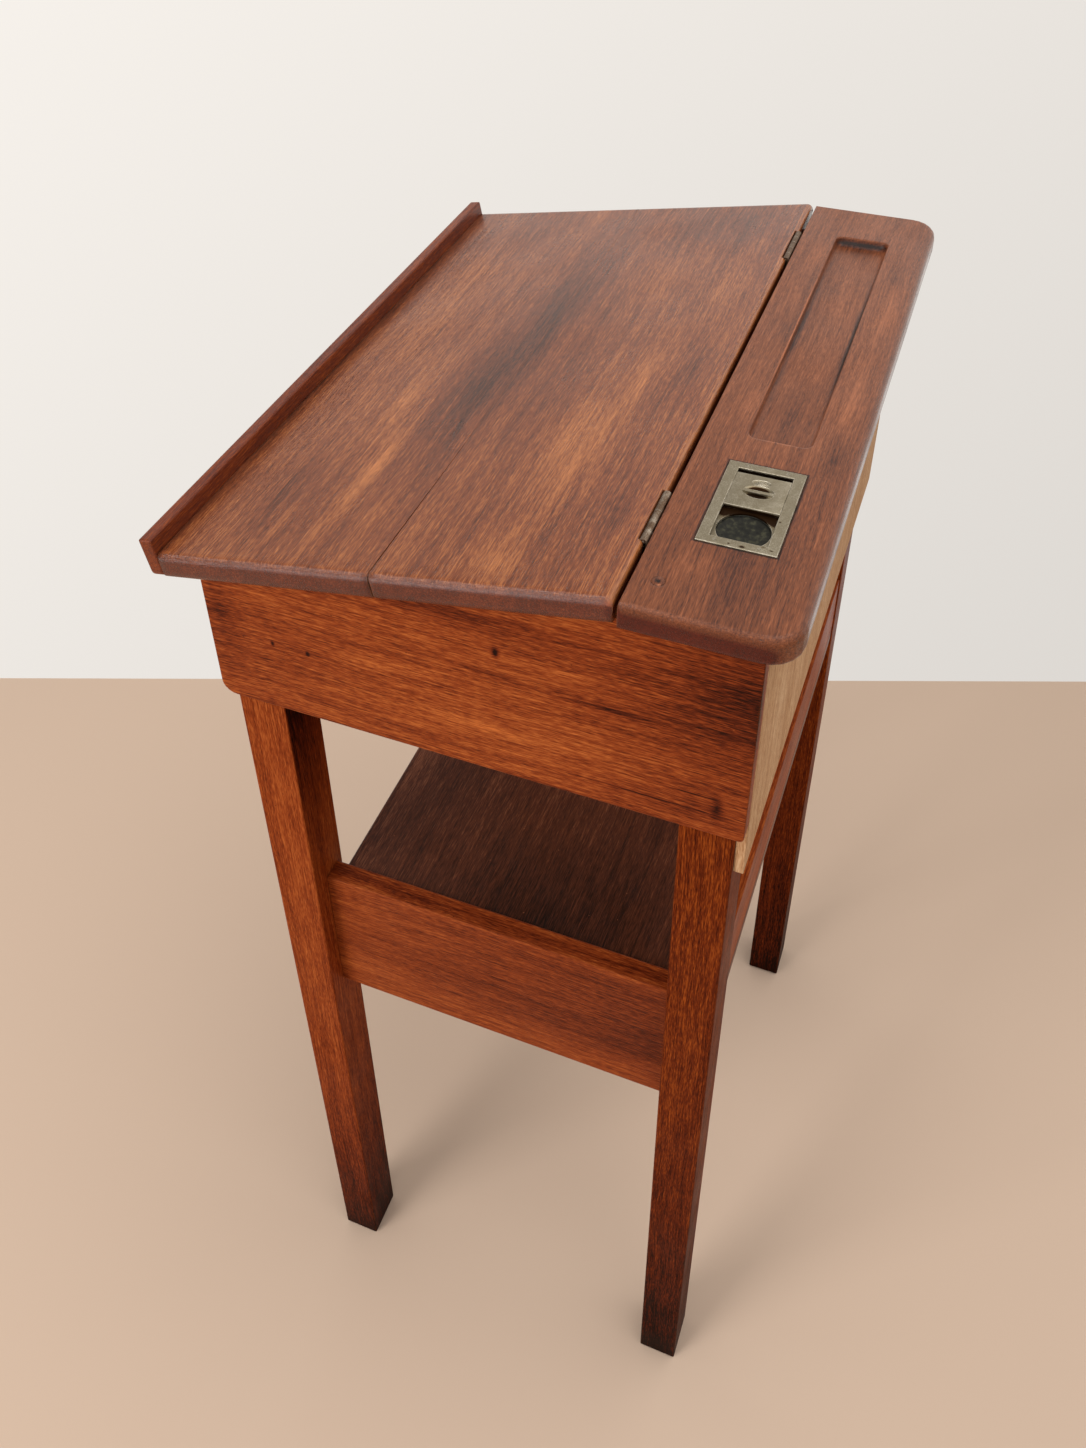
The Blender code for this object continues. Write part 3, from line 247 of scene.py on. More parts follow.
# Darker towards the back, and a line of painted shade in the corner with the shelf
STRETCHER_MARKS = (
    ((0.264, 0.020, 0.600), (0.02, 0.300, 0.140), -0.35),
    ((0.264, 0.150, 0.600), (0.02, 0.160, 0.140), -0.45),
    # Painted shade in the corner with the shelf
    ((0.253, 0.0, 0.680), (0.0105, ALL, 0.003), -0.9),
)
# Casting pits
PLATE_MARKS = (
    ((0.2273, 0.1858, 1.147), (0.0022, 0.0035, 0.004), -1.6),
    ((0.2266, 0.1767, 1.147), (0.0011, 0.0014, 0.004), -1.6),
    ((0.1933, 0.2036, 1.147), (0.0011, 0.0012, 0.004), -1.6),
    ((0.2249, 0.2048, 1.147), (0.0011, 0.0022, 0.004), -1.4),
    ((0.2220, 0.1990, 1.147), (0.0030, 0.0030, 0.004), -0.9),
)
# Ink and painted shadow under the cover's near edge, and ink in the channel and in the corners by the mouth
BASE_MARKS = (
    # Ink and painted shadow along the cover's near edge
    ((0.1880, 0.1820, 1.145), (0.0100, 0.0500, 0.010), -2.6),
    ((0.1440, 0.1820, 1.143), (0.0060, 0.0600, 0.010), -4.0),
    ((0.1900, 0.1640, 1.145), (0.0130, 0.0070, 0.010), -1.2),
    ((0.1900, 0.2000, 1.145), (0.0130, 0.0070, 0.010), -1.2),
)
# Ink in both grips, and ink with painted shadow on the cover's end by the mouth
COVER_MARKS = (
    ((0.1608, 0.18185, 1.1435), (0.0060, 0.0150, 0.0031), -8.0),
    ((0.1694, 0.18185, 1.1435), (0.0060, 0.0150, 0.0031), -8.0),
    # Ink and painted shadow on the cover's near end
    ((0.1853, 0.1820, 1.1438), (0.0010, 0.0400, 0.0030), -6.0),
)


def add_marks(tree, place, marks, tone):
    """Raises and lowers a tone by its marks."""
    for middle, reach, strength in marks:
        feeds = {
            "Vector": place,
            "Location": [-value / width for value, width in zip(middle, reach)],
            "Scale": [1 / width for width in reach],
        }
        spot = add(tree, "Mapping", feeds)
        ball = add(tree, "TexGradient", {"Vector": spot}, gradient_type="QUADRATIC_SPHERE").outputs["Fac"]
        tone = add(tree, "Math", {0: ball, 1: strength, 2: tone}, operation="MULTIPLY_ADD")
    return tone


# The turn of a face, as a cosine, from which an arris starts to show as rubbed, with a painted highlight
WEAR_AND_HIGHLIGHT_STARTS = 0.995


def worn_and_highlit_edges(tree, place, radius, widest, sharpest):
    """How worn a surface is, and how strongly a highlight is painted on it, from 0 on a face to 1 on
    an arris, broken up every 11 mm. It shows no wider than widest, and is full where the face turns
    by the cosine sharpest."""
    narrow = add(tree, "Math", {0: radius, 1: widest}, operation="MINIMUM")
    rounded = add(tree, "Bevel", {"Radius": narrow}, samples=4)
    face = add(tree, "NewGeometry").outputs["True Normal"]
    turn = add(tree, "VectorMath", {0: rounded, 1: face}, operation="DOT_PRODUCT").outputs["Value"]
    edge = add(tree, "MapRange", {"Value": turn, "From Min": WEAR_AND_HIGHLIGHT_STARTS, "From Max": sharpest})
    broken = add(tree, "TexNoise", {"Vector": place, "Scale": 90.0, "Detail": 3.0}).outputs["Fac"]
    rubbed_and_highlit = add(tree, "MapRange", {"Value": broken, "From Min": 0.38, "From Max": 0.56})
    return add(tree, "Math", {0: edge, 1: rubbed_and_highlit}, operation="MULTIPLY")


# Timber

# Each layer of figure: how many waves a metre along the grain and across it, its detail, and its
# weight. They are growth bands 40 mm apart, streaks of 7 mm, fibres of 1.4 mm and flecks of 0.7 mm.
# Real fibres are finer, and wouldn't show.
FIGURE = (
    (1.5, 25.0, 2.0, 0.55),
    (5.0, 140.0, 4.0, 0.60),
    (24.0, 700.0, 3.0, 1.35),
    (130.0, 1500.0, 1.0, 1.40),
)
# The grain wanders by up to 12 mm, in waves 250 mm long
WANDER = 0.012
WANDERS_PER_METRE = 4.0
# Pores to a metre, along the grain and across it, and how much of its cell each one fills in light
# and in dark streaks. Mahogany's are 0.2 mm wide, and are drawn up to 0.6 mm wide.
PORES_ALONG = 170.0
PORES_ACROSS = 1050.0
PORE_FILLS = (0.12, 0.42)
PORE_TINT = 0.62
# How the tone is laid on the colour ramp, so that 0, 0.5 and 1 are dark, middle and light wood
TONE_SPREAD = 0.5
TONE_START = 0.25
# What hands leave, and the painted shade in the hinge gap, which the wood's colour is multiplied by
HAND_STAIN_AND_SHADE = linear("#A5655A")
GRIME = -1.3
# The widest that a rubbed arris, with its painted highlight, shows
RUBBED_AND_HIGHLIT_WIDTH = 0.0014


def stretched(grain, along, across):
    """A pattern's scale on each axis, from its repeats a metre along and across the grain."""
    return [along if axis == grain else across for axis in "XYZ"]


def timber(
    name, grain, tones, seed, marks=(), gloss=0.42, level=0.06, radius=0.0015, rounding=(), shine=(),
    handling_and_shade=(), figure=1.0, relief=1.0, specks=0.3, rebate=None,
):
    """Hardwood, sawn or polished, with its figure, open pores, nicks, and worn arrises with painted
    highlights.

    The grain is the axis that the fibres follow, and the tones are pore, dark, middle and light
    wood. Gloss is the roughness of the polish, level how strongly it mirrors, and radius how round
    the arrises are worn. Marks lighten and darken the wood, those in shine and in rounding change
    that roughness and that radius, and those in handling stain it as hands do, or darken it as
    painted shade down in a gap. Figure, relief and specks say how strong its figure, its bump and
    its pale specks are. A rebate is its middle, half its size and a reach, and has grime along its
    outside."""
    material, tree, shader = new_material(name)
    place = add(tree, "TexCoord").outputs["Object"]
    feeds = {"Vector": place, "Scale": WANDERS_PER_METRE, "Detail": 1.0}
    drift = add(tree, "TexNoise", feeds).outputs["Color"]
    feeds = {0: drift, 1: (WANDER, WANDER, WANDER), 2: place}
    bent = add(tree, "VectorMath", feeds, operation="MULTIPLY_ADD")

    # The figure, all of it long in the grain. Each layer averages half, which is first taken off.
    tone = 0.5 - 0.5 * figure * sum(weight for _, _, _, weight in FIGURE)
    layers = []
    for along, across, detail, weight in FIGURE:
        feeds = {"Vector": bent, "Location": seed, "Scale": stretched(grain, along, across)}
        spread = add(tree, "Mapping", feeds)
        waves = add(tree, "TexNoise", {"Vector": spread, "Scale": 1.0, "Detail": detail}).outputs["Fac"]
        layers.append(waves)
        tone = add(tree, "Math", {0: waves, 1: weight * figure, 2: tone}, operation="MULTIPLY_ADD")
    _, streaks, fibres, _ = layers
    tone = add_marks(tree, place, marks, tone)
    if rebate:
        middle, half, reach = rebate
        away = add(tree, "VectorMath", {0: place, 1: middle}, operation="SUBTRACT")
        away = add(tree, "VectorMath", {0: away}, operation="ABSOLUTE")
        away = add(tree, "VectorMath", {0: away, 1: half}, operation="SUBTRACT")
        away = add(tree, "SeparateXYZ", {0: away}).outputs
        away = add(tree, "Math", {0: away["X"], 1: away["Y"]}, operation="MAXIMUM")
        feeds = {"Value": away, "From Min": 0.0, "From Max": reach, "To Min": GRIME, "To Max": 0.0}
        tone = add(tree, "Math", {0: tone, 1: add(tree, "MapRange", feeds)}, operation="ADD")
    tone = add(tree, "Math", {0: tone, 1: TONE_SPREAD, 2: TONE_START}, operation="MULTIPLY_ADD")
    darkest = [share * 0.55 for share in tones[0]]
    lightest = [min(1.0, share * 1.45) for share in tones[3]]
    stops = [(0.0, darkest), (0.25, tones[1]), (0.5, tones[2]), (0.75, tones[3]), (1.0, lightest)]
    wood = add(tree, "ValToRGB", {"Fac": tone}, stops)
    # Hand stains, and painted shade in the hinge gap
    if handling_and_shade:
        feeds = {SHARE: add_marks(tree, place, handling_and_shade, 0.0), COLOUR_A: wood, COLOUR_B: HAND_STAIN_AND_SHADE}
        wood = add(tree, "Mix", feeds, data_type="RGBA", blend_type="MULTIPLY").outputs[COLOUR_OUT]

    # The pores: dark dashes 6 mm long, closer together in the darker streaks
    feeds = {"Vector": bent, "Location": seed, "Scale": stretched(grain, PORES_ALONG, PORES_ACROSS)}
    spread = add(tree, "Mapping", feeds)
    cells = add(tree, "TexVoronoi", {"Vector": spread, "Scale": 1.0}).outputs["Distance"]
    fewest, most = PORE_FILLS
    feeds = {"Value": streaks, "From Min": 0.62, "From Max": 0.38, "To Min": fewest, "To Max": most}
    crowd = add(tree, "MapRange", feeds)
    feeds = {"Value": cells, "From Min": 0.0, "From Max": crowd, "To Min": 1.0, "To Max": 0.0}
    pore = add(tree, "MapRange", feeds)
    tint = add(tree, "Math", {0: pore, 1: PORE_TINT}, operation="MULTIPLY")
    feeds = {SHARE: tint, COLOUR_A: wood, COLOUR_B: tones[0]}
    wood = add(tree, "Mix", feeds, data_type="RGBA").outputs[COLOUR_OUT]

    # Dark nicks and pale specks, 1 to 2 mm wide: how many to a metre, how much of its cell each one
    # fills, its colour and its strength
    for density, size, colour, strength in ((55.0, 0.045, tones[0], 0.6), (75.0, 0.055, tones[3], specks)):
        cells = add(tree, "TexVoronoi", {"Vector": place, "Scale": density}).outputs["Distance"]
        feeds = {"Value": cells, "From Min": size * 0.6, "From Max": size, "To Min": strength, "To Max": 0.0}
        feeds = {SHARE: add(tree, "MapRange", feeds), COLOUR_A: wood, COLOUR_B: colour}
        wood = add(tree, "Mix", feeds, data_type="RGBA").outputs[COLOUR_OUT]

    # The arrises, rubbed pale and painted with highlights
    roundness = add_marks(tree, place, rounding, radius)
    rubbed_and_highlit = worn_and_highlit_edges(tree, place, roundness, RUBBED_AND_HIGHLIT_WIDTH, 0.80)
    pale = add(tree, "Math", {0: rubbed_and_highlit, 1: 0.55}, operation="MULTIPLY")
    feeds = {SHARE: pale, COLOUR_A: wood, COLOUR_B: tones[3]}
    wood = add(tree, "Mix", feeds, data_type="RGBA").outputs[COLOUR_OUT]
    tree.links.new(wood, shader.inputs["Base Color"])

    # The polish: duller in patches of 70 mm and in the pores
    haze = add(tree, "TexNoise", {"Vector": place, "Scale": 14.0, "Detail": 4.0}).outputs["Fac"]
    feeds = {"Value": haze, "From Min": 0.3, "From Max": 0.7, "To Min": gloss - 0.06, "To Max": gloss + 0.08}
    dull = add(tree, "MapRange", feeds)
    rough = add(tree, "Math", {0: pore, 1: 0.2, 2: dull}, operation="MULTIPLY_ADD")
    rough = add_marks(tree, place, shine, rough)
    tree.links.new(rough.outputs[0], shader.inputs["Roughness"])
    shader.inputs["Specular IOR Level"].default_value = level

    # Raised fibres and sunken pores, laid on the rounded arrises
    ridge = add(tree, "Math", {0: fibres, 1: 0.5, 2: streaks}, operation="MULTIPLY_ADD")
    depth = add(tree, "Math", {0: pore, 1: -0.7, 2: ridge}, operation="MULTIPLY_ADD")
    arris = add(tree, "Bevel", {"Radius": roundness}, samples=4)
    feeds = {"Height": depth, "Strength": 0.5 * relief, "Distance": 0.0004, "Normal": arris}
    bump = add(tree, "Bump", feeds)
    tree.links.new(bump.outputs[0], shader.inputs["Normal"])
    return material


# Unstained softwood: pore, dark, middle and light
BARE_TONES = (linear("#5A3A26"), linear("#A0734C"), linear("#BE936C"), linear("#DDBB94"))


# Metal

def metal(name, colours, rough, grit, marks, clouding):
    """Worn metal. The colours are stain, dark, middle and light, rough is its polish, grit is how
    many grains of its skin go to a metre, and clouding how strong its tarnish or rust is, in clouds
    of 8 mm. Its edges are worn bright, which also paints highlights along them."""
    material, tree, shader = new_material(name)
    place = add(tree, "TexCoord").outputs["Object"]
    cloud = add(tree, "TexNoise", {"Vector": place, "Scale": 120.0, "Detail": 5.0}).outputs["Fac"]
    grain = add(tree, "TexNoise", {"Vector": place, "Scale": grit, "Detail": 3.0}).outputs["Fac"]
    tone = add(tree, "Math", {0: cloud, 1: clouding, 2: 0.30 - 0.5 * clouding}, operation="MULTIPLY_ADD")
    tone = add(tree, "Math", {0: grain, 1: 0.5, 2: tone}, operation="MULTIPLY_ADD")
    # The edges, worn bright and painted with highlights
    rubbed_and_highlit = worn_and_highlit_edges(tree, place, 0.0006, 0.0006, 0.85)
    tone = add(tree, "Math", {0: rubbed_and_highlit, 1: 0.6, 2: tone}, operation="MULTIPLY_ADD")
    tone = add_marks(tree, place, marks, tone)
    tint = add(tree, "ValToRGB", {"Fac": tone}, list(zip((0.0, 0.22, 0.55, 1.0), colours)))
    tree.links.new(tint.outputs[0], shader.inputs["Base Color"])
    shader.inputs["Metallic"].default_value = 1.0
    worn = add(tree, "MapRange", {"Value": cloud, "To Min": rough - 0.08, "To Max": rough + 0.15})
    tree.links.new(worn.outputs[0], shader.inputs["Roughness"])
    bump = add(tree, "Bump", {"Height": grain, "Strength": 0.30, "Distance": 0.0003})
    tree.links.new(bump.outputs[0], shader.inputs["Normal"])
    return material


# Modelling by hand

def deselect():
    """Leaves nothing selected, because an operator acts on all that is."""
    bpy.ops.object.select_all(action="DESELECT")


def pick(piece):
    """Selects one piece alone, and makes it the active one."""
    deselect()
    piece.select_set(True)
    bpy.context.view_layer.objects.active = piece


def settle(name):
    """Names the new piece, and moves its place, turn and size into its mesh."""
    bpy.ops.object.transform_apply(location=True, rotation=True, scale=True)
    piece = bpy.context.object
    piece.name = name
    return piece


def open_mesh(piece):
    """Opens a piece in edit mode, with all of it selected."""
    pick(piece)
    bpy.ops.object.mode_set(mode="EDIT")
    bpy.ops.mesh.select_all(action="SELECT")


def close_mesh():
    """Goes back to object mode."""
    bpy.ops.object.mode_set(mode="OBJECT")


def choose(piece, kind, test):
    """Selects the faces, edges or vertices whose middle and normal pass the test. An edge's normal
    is its own direction."""
    bpy.ops.mesh.select_all(action="DESELECT")
    bpy.ops.mesh.select_mode(type=kind)
    mesh = bmesh.from_edit_mesh(piece.data)
    for item in {"FACE": mesh.faces, "EDGE": mesh.edges, "VERT": mesh.verts}[kind]:
        corners = [item] if kind == "VERT" else item.verts
        middle = sum((corner.co for corner in corners), Vector()) / len(corners)
        normal = item.normal if kind != "EDGE" else (corners[1].co - corners[0].co).normalized()
        item.select_set(bool(test(middle, normal)))
    mesh.select_flush_mode()
    bmesh.update_edit_mesh(piece.data)


def combine(piece, tool, way):
    """Cuts the tool from the piece, or melts it on, and throws the tool away."""
    pick(piece)
    step = piece.modifiers.new("combine", "BOOLEAN")
    step.operation = way
    step.solver = "EXACT"
    step.object = tool
    bpy.ops.object.modifier_apply(modifier=step.name)
    bpy.data.objects.remove(tool)


def finish(piece, material, body, angle=35.0):
    """Gives a finished piece its smoothing, its material and its place on a moving body."""
    pick(piece)
    bpy.ops.object.shade_smooth_by_angle(angle=math.radians(angle))
    piece.data.materials.clear()
    piece.data.materials.append(material)
    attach(piece, body)


# What a user would change

class DeskColours(bpy.types.PropertyGroup):
    pore: FloatVectorProperty(
        name="Pore", description="Darkest colour of the stained wood, in its pores",
        subtype="COLOR", size=4, min=0, max=1, default=linear("#2E0F06"),
    )
    dark: FloatVectorProperty(
        name="Dark wood", description="Dark bands of the stained wood",
        subtype="COLOR", size=4, min=0, max=1, default=linear("#5A200A"),
    )
    middle: FloatVectorProperty(
        name="Middle wood", description="Middle colour of the stained wood",
        subtype="COLOR", size=4, min=0, max=1, default=linear("#873A16"),
    )
    light: FloatVectorProperty(
        name="Light wood", description="Light streaks of the stained wood",
        subtype="COLOR", size=4, min=0, max=1, default=linear("#AB5A28"),
    )


class DeskInkwell(bpy.types.PropertyGroup):
    tongue: FloatProperty(
        name="Tongue", description="How far the cover's lips reach under the frame",
        default=0.0012, min=0.0, max=0.003, unit="LENGTH",
    )
    grip_length: FloatProperty(
        name="Grip length", description="Length of the two finger grips together",
        default=0.0225, min=0.005, max=0.035, unit="LENGTH",
    )
    grip_reach: FloatProperty(
        name="Grip reach", description="From the middle of the rib to the far side of a grip",
        default=0.0075, min=0.002, max=0.012, unit="LENGTH",
    )
    grip_depth: FloatProperty(
        name="Grip depth", description="How deep the finger grips are dished",
        default=0.0020, min=0.0005, max=0.0028, unit="LENGTH",
    )
    rib: FloatProperty(
        name="Rib", description="Width of the rib between the grips",
        default=0.0028, min=0.001, max=0.006, unit="LENGTH",
    )
    ink_level: FloatProperty(
        name="Ink level", description="How far the dried ink lies under the mouth of the well",
        default=0.0040, min=0.001, max=0.03, unit="LENGTH",
    )


class DeskHinges(bpy.types.PropertyGroup):
    screw_radius: FloatProperty(
        name="Screw radius", description="Radius of the hinge screws' heads",
        default=0.0034, min=0.002, max=0.005, unit="LENGTH",
    )
    screw_pitch: FloatProperty(
        name="Screw pitch", description="From one hinge screw to the next",
        default=0.020, min=0.01, max=0.03, unit="LENGTH",
    )


class DeskStage(bpy.types.PropertyGroup):
    lens: FloatProperty(name="Lens", description="Focal length of the camera", default=32.7036, unit="CAMERA")
    floor: FloatVectorProperty(
        name="Floor", description="Colour of the plain floor",
        subtype="COLOR", size=4, min=0, max=1, default=linear("#CEB49E"),
    )
    wall: FloatVectorProperty(
        name="Backdrop", description="Colour behind the desk",
        subtype="COLOR", size=4, min=0, max=1, default=linear("#E9E4DE"),
    )


class DESK_OT_lay_stage(bpy.types.Operator):
    """Lays the floor, hangs the lights and sets the camera"""

    bl_idname = "desk.lay_stage"
    bl_label = "Lay the stage"

    def execute(self, context):
        settings = context.scene.desk_stage
        deselect()

        # The floor ends where the backdrop starts, on a line square to the view
        far_edge = Vector((-0.668, -0.308, 0.0))
        along = Vector((-0.346, 0.938, 0.0)).normalized()
        inward = Vector((along.y, -along.x, 0.0))
        size = 9.0
        bpy.ops.mesh.primitive_plane_add(size=1.0)
        floor = context.object
        floor.name = "floor"
        for vertex, (side, depth) in zip(floor.data.vertices, ((-1, 0), (1, 0), (-1, 1), (1, 1))):
            vertex.co = far_edge + along * side * size + inward * depth * size
        open_mesh(floor)
        bpy.ops.mesh.normals_make_consistent(inside=False)
        close_mesh()

        # Matt floor paint: even and pale, with hardly a sheen
        material, tree, shader = new_material("matt_floor_paint")
        shader.inputs["Base Color"].default_value = settings.floor
        shader.inputs["Roughness"].default_value = 0.7
        shader.inputs["Specular IOR Level"].default_value = 0.2
        floor.data.materials.append(material)

        # The world lights the desk evenly. The backdrop is paler to the left and above, as a wall is
        # beside a window. What mirrors it sees it brighter low down and behind the desk, and duller
        # overhead and towards the writer.
        world = bpy.data.worlds.new("studio")
        context.scene.world = world
        world.use_nodes = True
        tree = world.node_tree
        sky = tree.nodes["Background"]
        sky.inputs["Color"].default_value = (1.0, 0.985, 0.965, 1.0)
        sky.inputs["Strength"].default_value = 0.62
        facing = add(tree, "TexCoord").outputs["Generated"]
        paler_side, level, palest, dimmest = (0.055, -0.18, 0.25), 1.120, 1.25, 0.85
        feeds = {0: facing, 1: paler_side}
        slant = add(tree, "VectorMath", feeds, operation="DOT_PRODUCT").outputs["Value"]
        glow = add(tree, "Math", {0: slant, 1: level}, operation="ADD")
        glow = add(tree, "Math", {0: glow, 1: palest}, operation="MINIMUM")
        glow = add(tree, "Math", {0: glow, 1: dimmest}, operation="MAXIMUM")
        duller_side = (0.0, -0.6, 0.8)
        feeds = {0: facing, 1: duller_side}
        height = add(tree, "VectorMath", feeds, operation="DOT_PRODUCT").outputs["Value"]
        feeds = {"Value": height, "From Min": 0.35, "From Max": 0.75, "To Min": 1.45, "To Max": 0.45}
        mirrored = add(tree, "MapRange", feeds)
        path = add(tree, "LightPath").outputs
        feeds = {SHARE: path["Is Glossy Ray"], NUMBER_A: 1.0, NUMBER_B: mirrored}
        shade = add(tree, "Mix", feeds, data_type="FLOAT")
        glow = add(tree, "Math", {0: glow, 1: shade}, operation="MULTIPLY")
        seen = add(tree, "Background", {"Color": settings.wall, "Strength": glow})
        shown = path["Is Camera Ray"]
        for ray in ("Is Glossy Ray", "Is Transmission Ray"):
            shown = add(tree, "Math", {0: shown, 1: path[ray]}, operation="MAXIMUM")
        mix = add(tree, "MixShader", {0: shown, 1: sky, 2: seen})
        tree.links.new(mix.outputs[0], tree.nodes["World Output"].inputs["Surface"])

        # Each lamp's place, what it points at, its side, and its watts
        for name, spot, aim, size, energy in (
            ("overhead", (0.2, 0.9, 4.5), (0.0, 0.5, 0.0), 2.5, 57.0),
            ("skylight", (2.1, -0.9, 3.2), (0.3, 0.0, 1.1), 0.7, 14.0),
            ("window", (3.6, -2.2, 2.2), (0.0, 0.3, 0.6), 2.0, 88.0),
        ):
            data = bpy.data.lights.new(name, "AREA")
            data.energy = energy
            data.size = size
            lamp = bpy.data.objects.new(name, data)
            context.scene.collection.objects.link(lamp)
            lamp.location = spot
            lamp.rotation_mode = "QUATERNION"
            lamp.rotation_quaternion = (Vector(spot) - Vector(aim)).to_track_quat("Z", "Y")

        # The camera's place, turn, lens and shift are fitted to the photograph's straight edges
        data = bpy.data.cameras.new("camera")
        data.lens = settings.lens
        data.sensor_width = 36.0
        data.shift_x = 0.00922
        data.shift_y = -0.16808
        camera = bpy.data.objects.new("camera", data)
        context.scene.collection.objects.link(camera)
        axes = Matrix((
            (-0.36477, -0.56148, 0.74275),
            (0.93096, -0.20638, 0.30119),
            (-0.01583, 0.80134, 0.59800),
        ))
        camera.matrix_world = Matrix.Translation((0.89445, 0.30714, 1.69975)) @ axes.to_4x4()
        context.scene.camera = camera
        context.scene.view_settings.view_transform = "Standard"
        return {"FINISHED"}


class DESK_OT_finish_timber(bpy.types.Operator):
    """Gives every board its wood"""

    bl_idname = "desk.finish_timber"
    bl_label = "Finish the timber"

    def execute(self, context):
        wood = context.scene.desk_colours
        stained = (wood.pore, wood.dark, wood.middle, wood.light)
        # The stained tones darkened, as painted shade for what stands in shade
        shaded_tones = (linear("#200A03"), linear("#461605"), linear("#67270A"), linear("#904314"))
        top = (linear("#260F07"), linear("#4E2614"), linear("#793E22"), linear("#A76538"))
        board = (linear("#26110A"), linear("#50291A"), linear("#7A4429"), linear("#9C5D3C"))
        shelf = (linear("#1A0C07"), linear("#3E1F13"), linear("#5E3220"), linear("#8E573C"))

        # Mahogany, planed and polished, then rubbed by sleeves: a cloudy brown with a satin sheen
        # that mirrors the wall at a low angle, its ends worn round, dark and glossy. Its rear edge has
        # painted highlights, and painted shade lies in the hinge gap and against the ledge.
        lid = {
            "level": 0.50, "gloss": 0.30, "radius": 0.0002,
            "rounding": LID_ROUNDING, "shine": LID_SHINE, "handling_and_shade": LID_HANDLING_AND_SHADE,
        }
        for plank, seed, marks in (
            ("rear", (0.3, 0.1, 0.0), LID_REAR_MARKS + LID_ARRIS_PAINTED_LIGHT),
            ("front", (1.3, 2.1, 0.7), LID_FRONT_MARKS + LID_ARRIS_PAINTED_LIGHT),
        ):
            polished = timber(f"polished_mahogany_lid_{plank}", "X", top, seed, marks, **lid)
            dress([f"lid_{plank}_plank"], polished)

        # The same polish, worn thinner: redder and duller, speckled with dust and ink, with grime
        # round the plate, painted shade in the groove and the hinge gap, and painted highlights on the
        # groove's arrises
        low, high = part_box("inkwell_frame")
        half = (high - low) / 2
        rebate = ((low + high) / 2, (half.x, half.y, 1.0), 0.0022)
        pen_board = timber(
            "polished_mahogany_pen_board", "X", board, (4.3, 3.1, 1.7), BOARD_MARKS, 0.36, 0.28, 0.003,
            shine=BOARD_SHINE, handling_and_shade=BOARD_HANDLING_AND_SHADE, figure=0.85, specks=0.6, rebate=rebate,
        )
        dress(["pen_board", "screw_plug"], pen_board)

        # Mahogany under red-brown stain and old wax: warm, nearly matt, its figure strong. Each
        # board's grain runs along it, and what stands in shade is given deeper tones, as painted shade.
        ledge = timber("stained_mahogany_ledge", "X", shaded_tones, (7.3, 1.1, 2.7), level=0.3)
        dress(["book_ledge"], ledge)
        sides = timber("stained_mahogany_sides", "Y", stained, (2.3, 5.1, 3.7), SIDE_MARKS, figure=1.2)
        dress(["side_panel_left", "side_panel_right"], sides)
        rails = timber("stained_mahogany_rails", "Y", stained, (8.3, 6.1, 4.7), STRETCHER_MARKS)
        for kind in ("stretcher", "floor_cleat", "shelf_cleat"):
            dress([f"{kind}_left", f"{kind}_right"], rails)
        panel = timber("stained_mahogany_panel", "X", stained, (6.3, 8.1, 6.7))
        dress(["front_panel", "back_rail"], panel)

        # The legs: the same, duller, and darker towards the floor as painted shade, with painted shade over
        # the front legs' inner faces
        inner_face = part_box("leg_front_right")[1].y
        # Painted shade over the inner face
        shaded_face = ((0.26, inner_face, 0.5), (ALL, 0.0012, ALL), -1.3)
        front_legs = timber(
            "stained_mahogany_front_legs", "Z", stained, (5.3, 7.1, 5.7), (*LEG_PAINTED_SHADE, shaded_face), level=0.02,
        )
        dress(["leg_front_left", "leg_front_right"], front_legs)
        back_legs = timber(
            "stained_mahogany_back_legs", "Z", shaded_tones, (1.3, 4.1, 2.7), LEG_PAINTED_SHADE, figure=1.3, level=0.02,
        )
        dress(["leg_back_left", "leg_back_right"], back_legs)

        # Mahogany under a dark stain, never polished: nearly black, with pale specks of dust
        low_shelf = timber(
            "dark_stained_mahogany_shelf", "X", shelf, (9.3, 9.1, 7.7), SHELF_MARKS, level=0.2, specks=0.7,
        )
        dress(["shelf"], low_shelf)

        # Pine, sawn and left bare: dry, pale, wholly matt, and rough to the light
        box_floor = timber("bare_sawn_pine_floor", "X", BARE_TONES, (1.3, 6.1, 2.7), gloss=0.75, relief=1.6)
        dress(["box_floor"], box_floor)
        return {"FINISHED"}


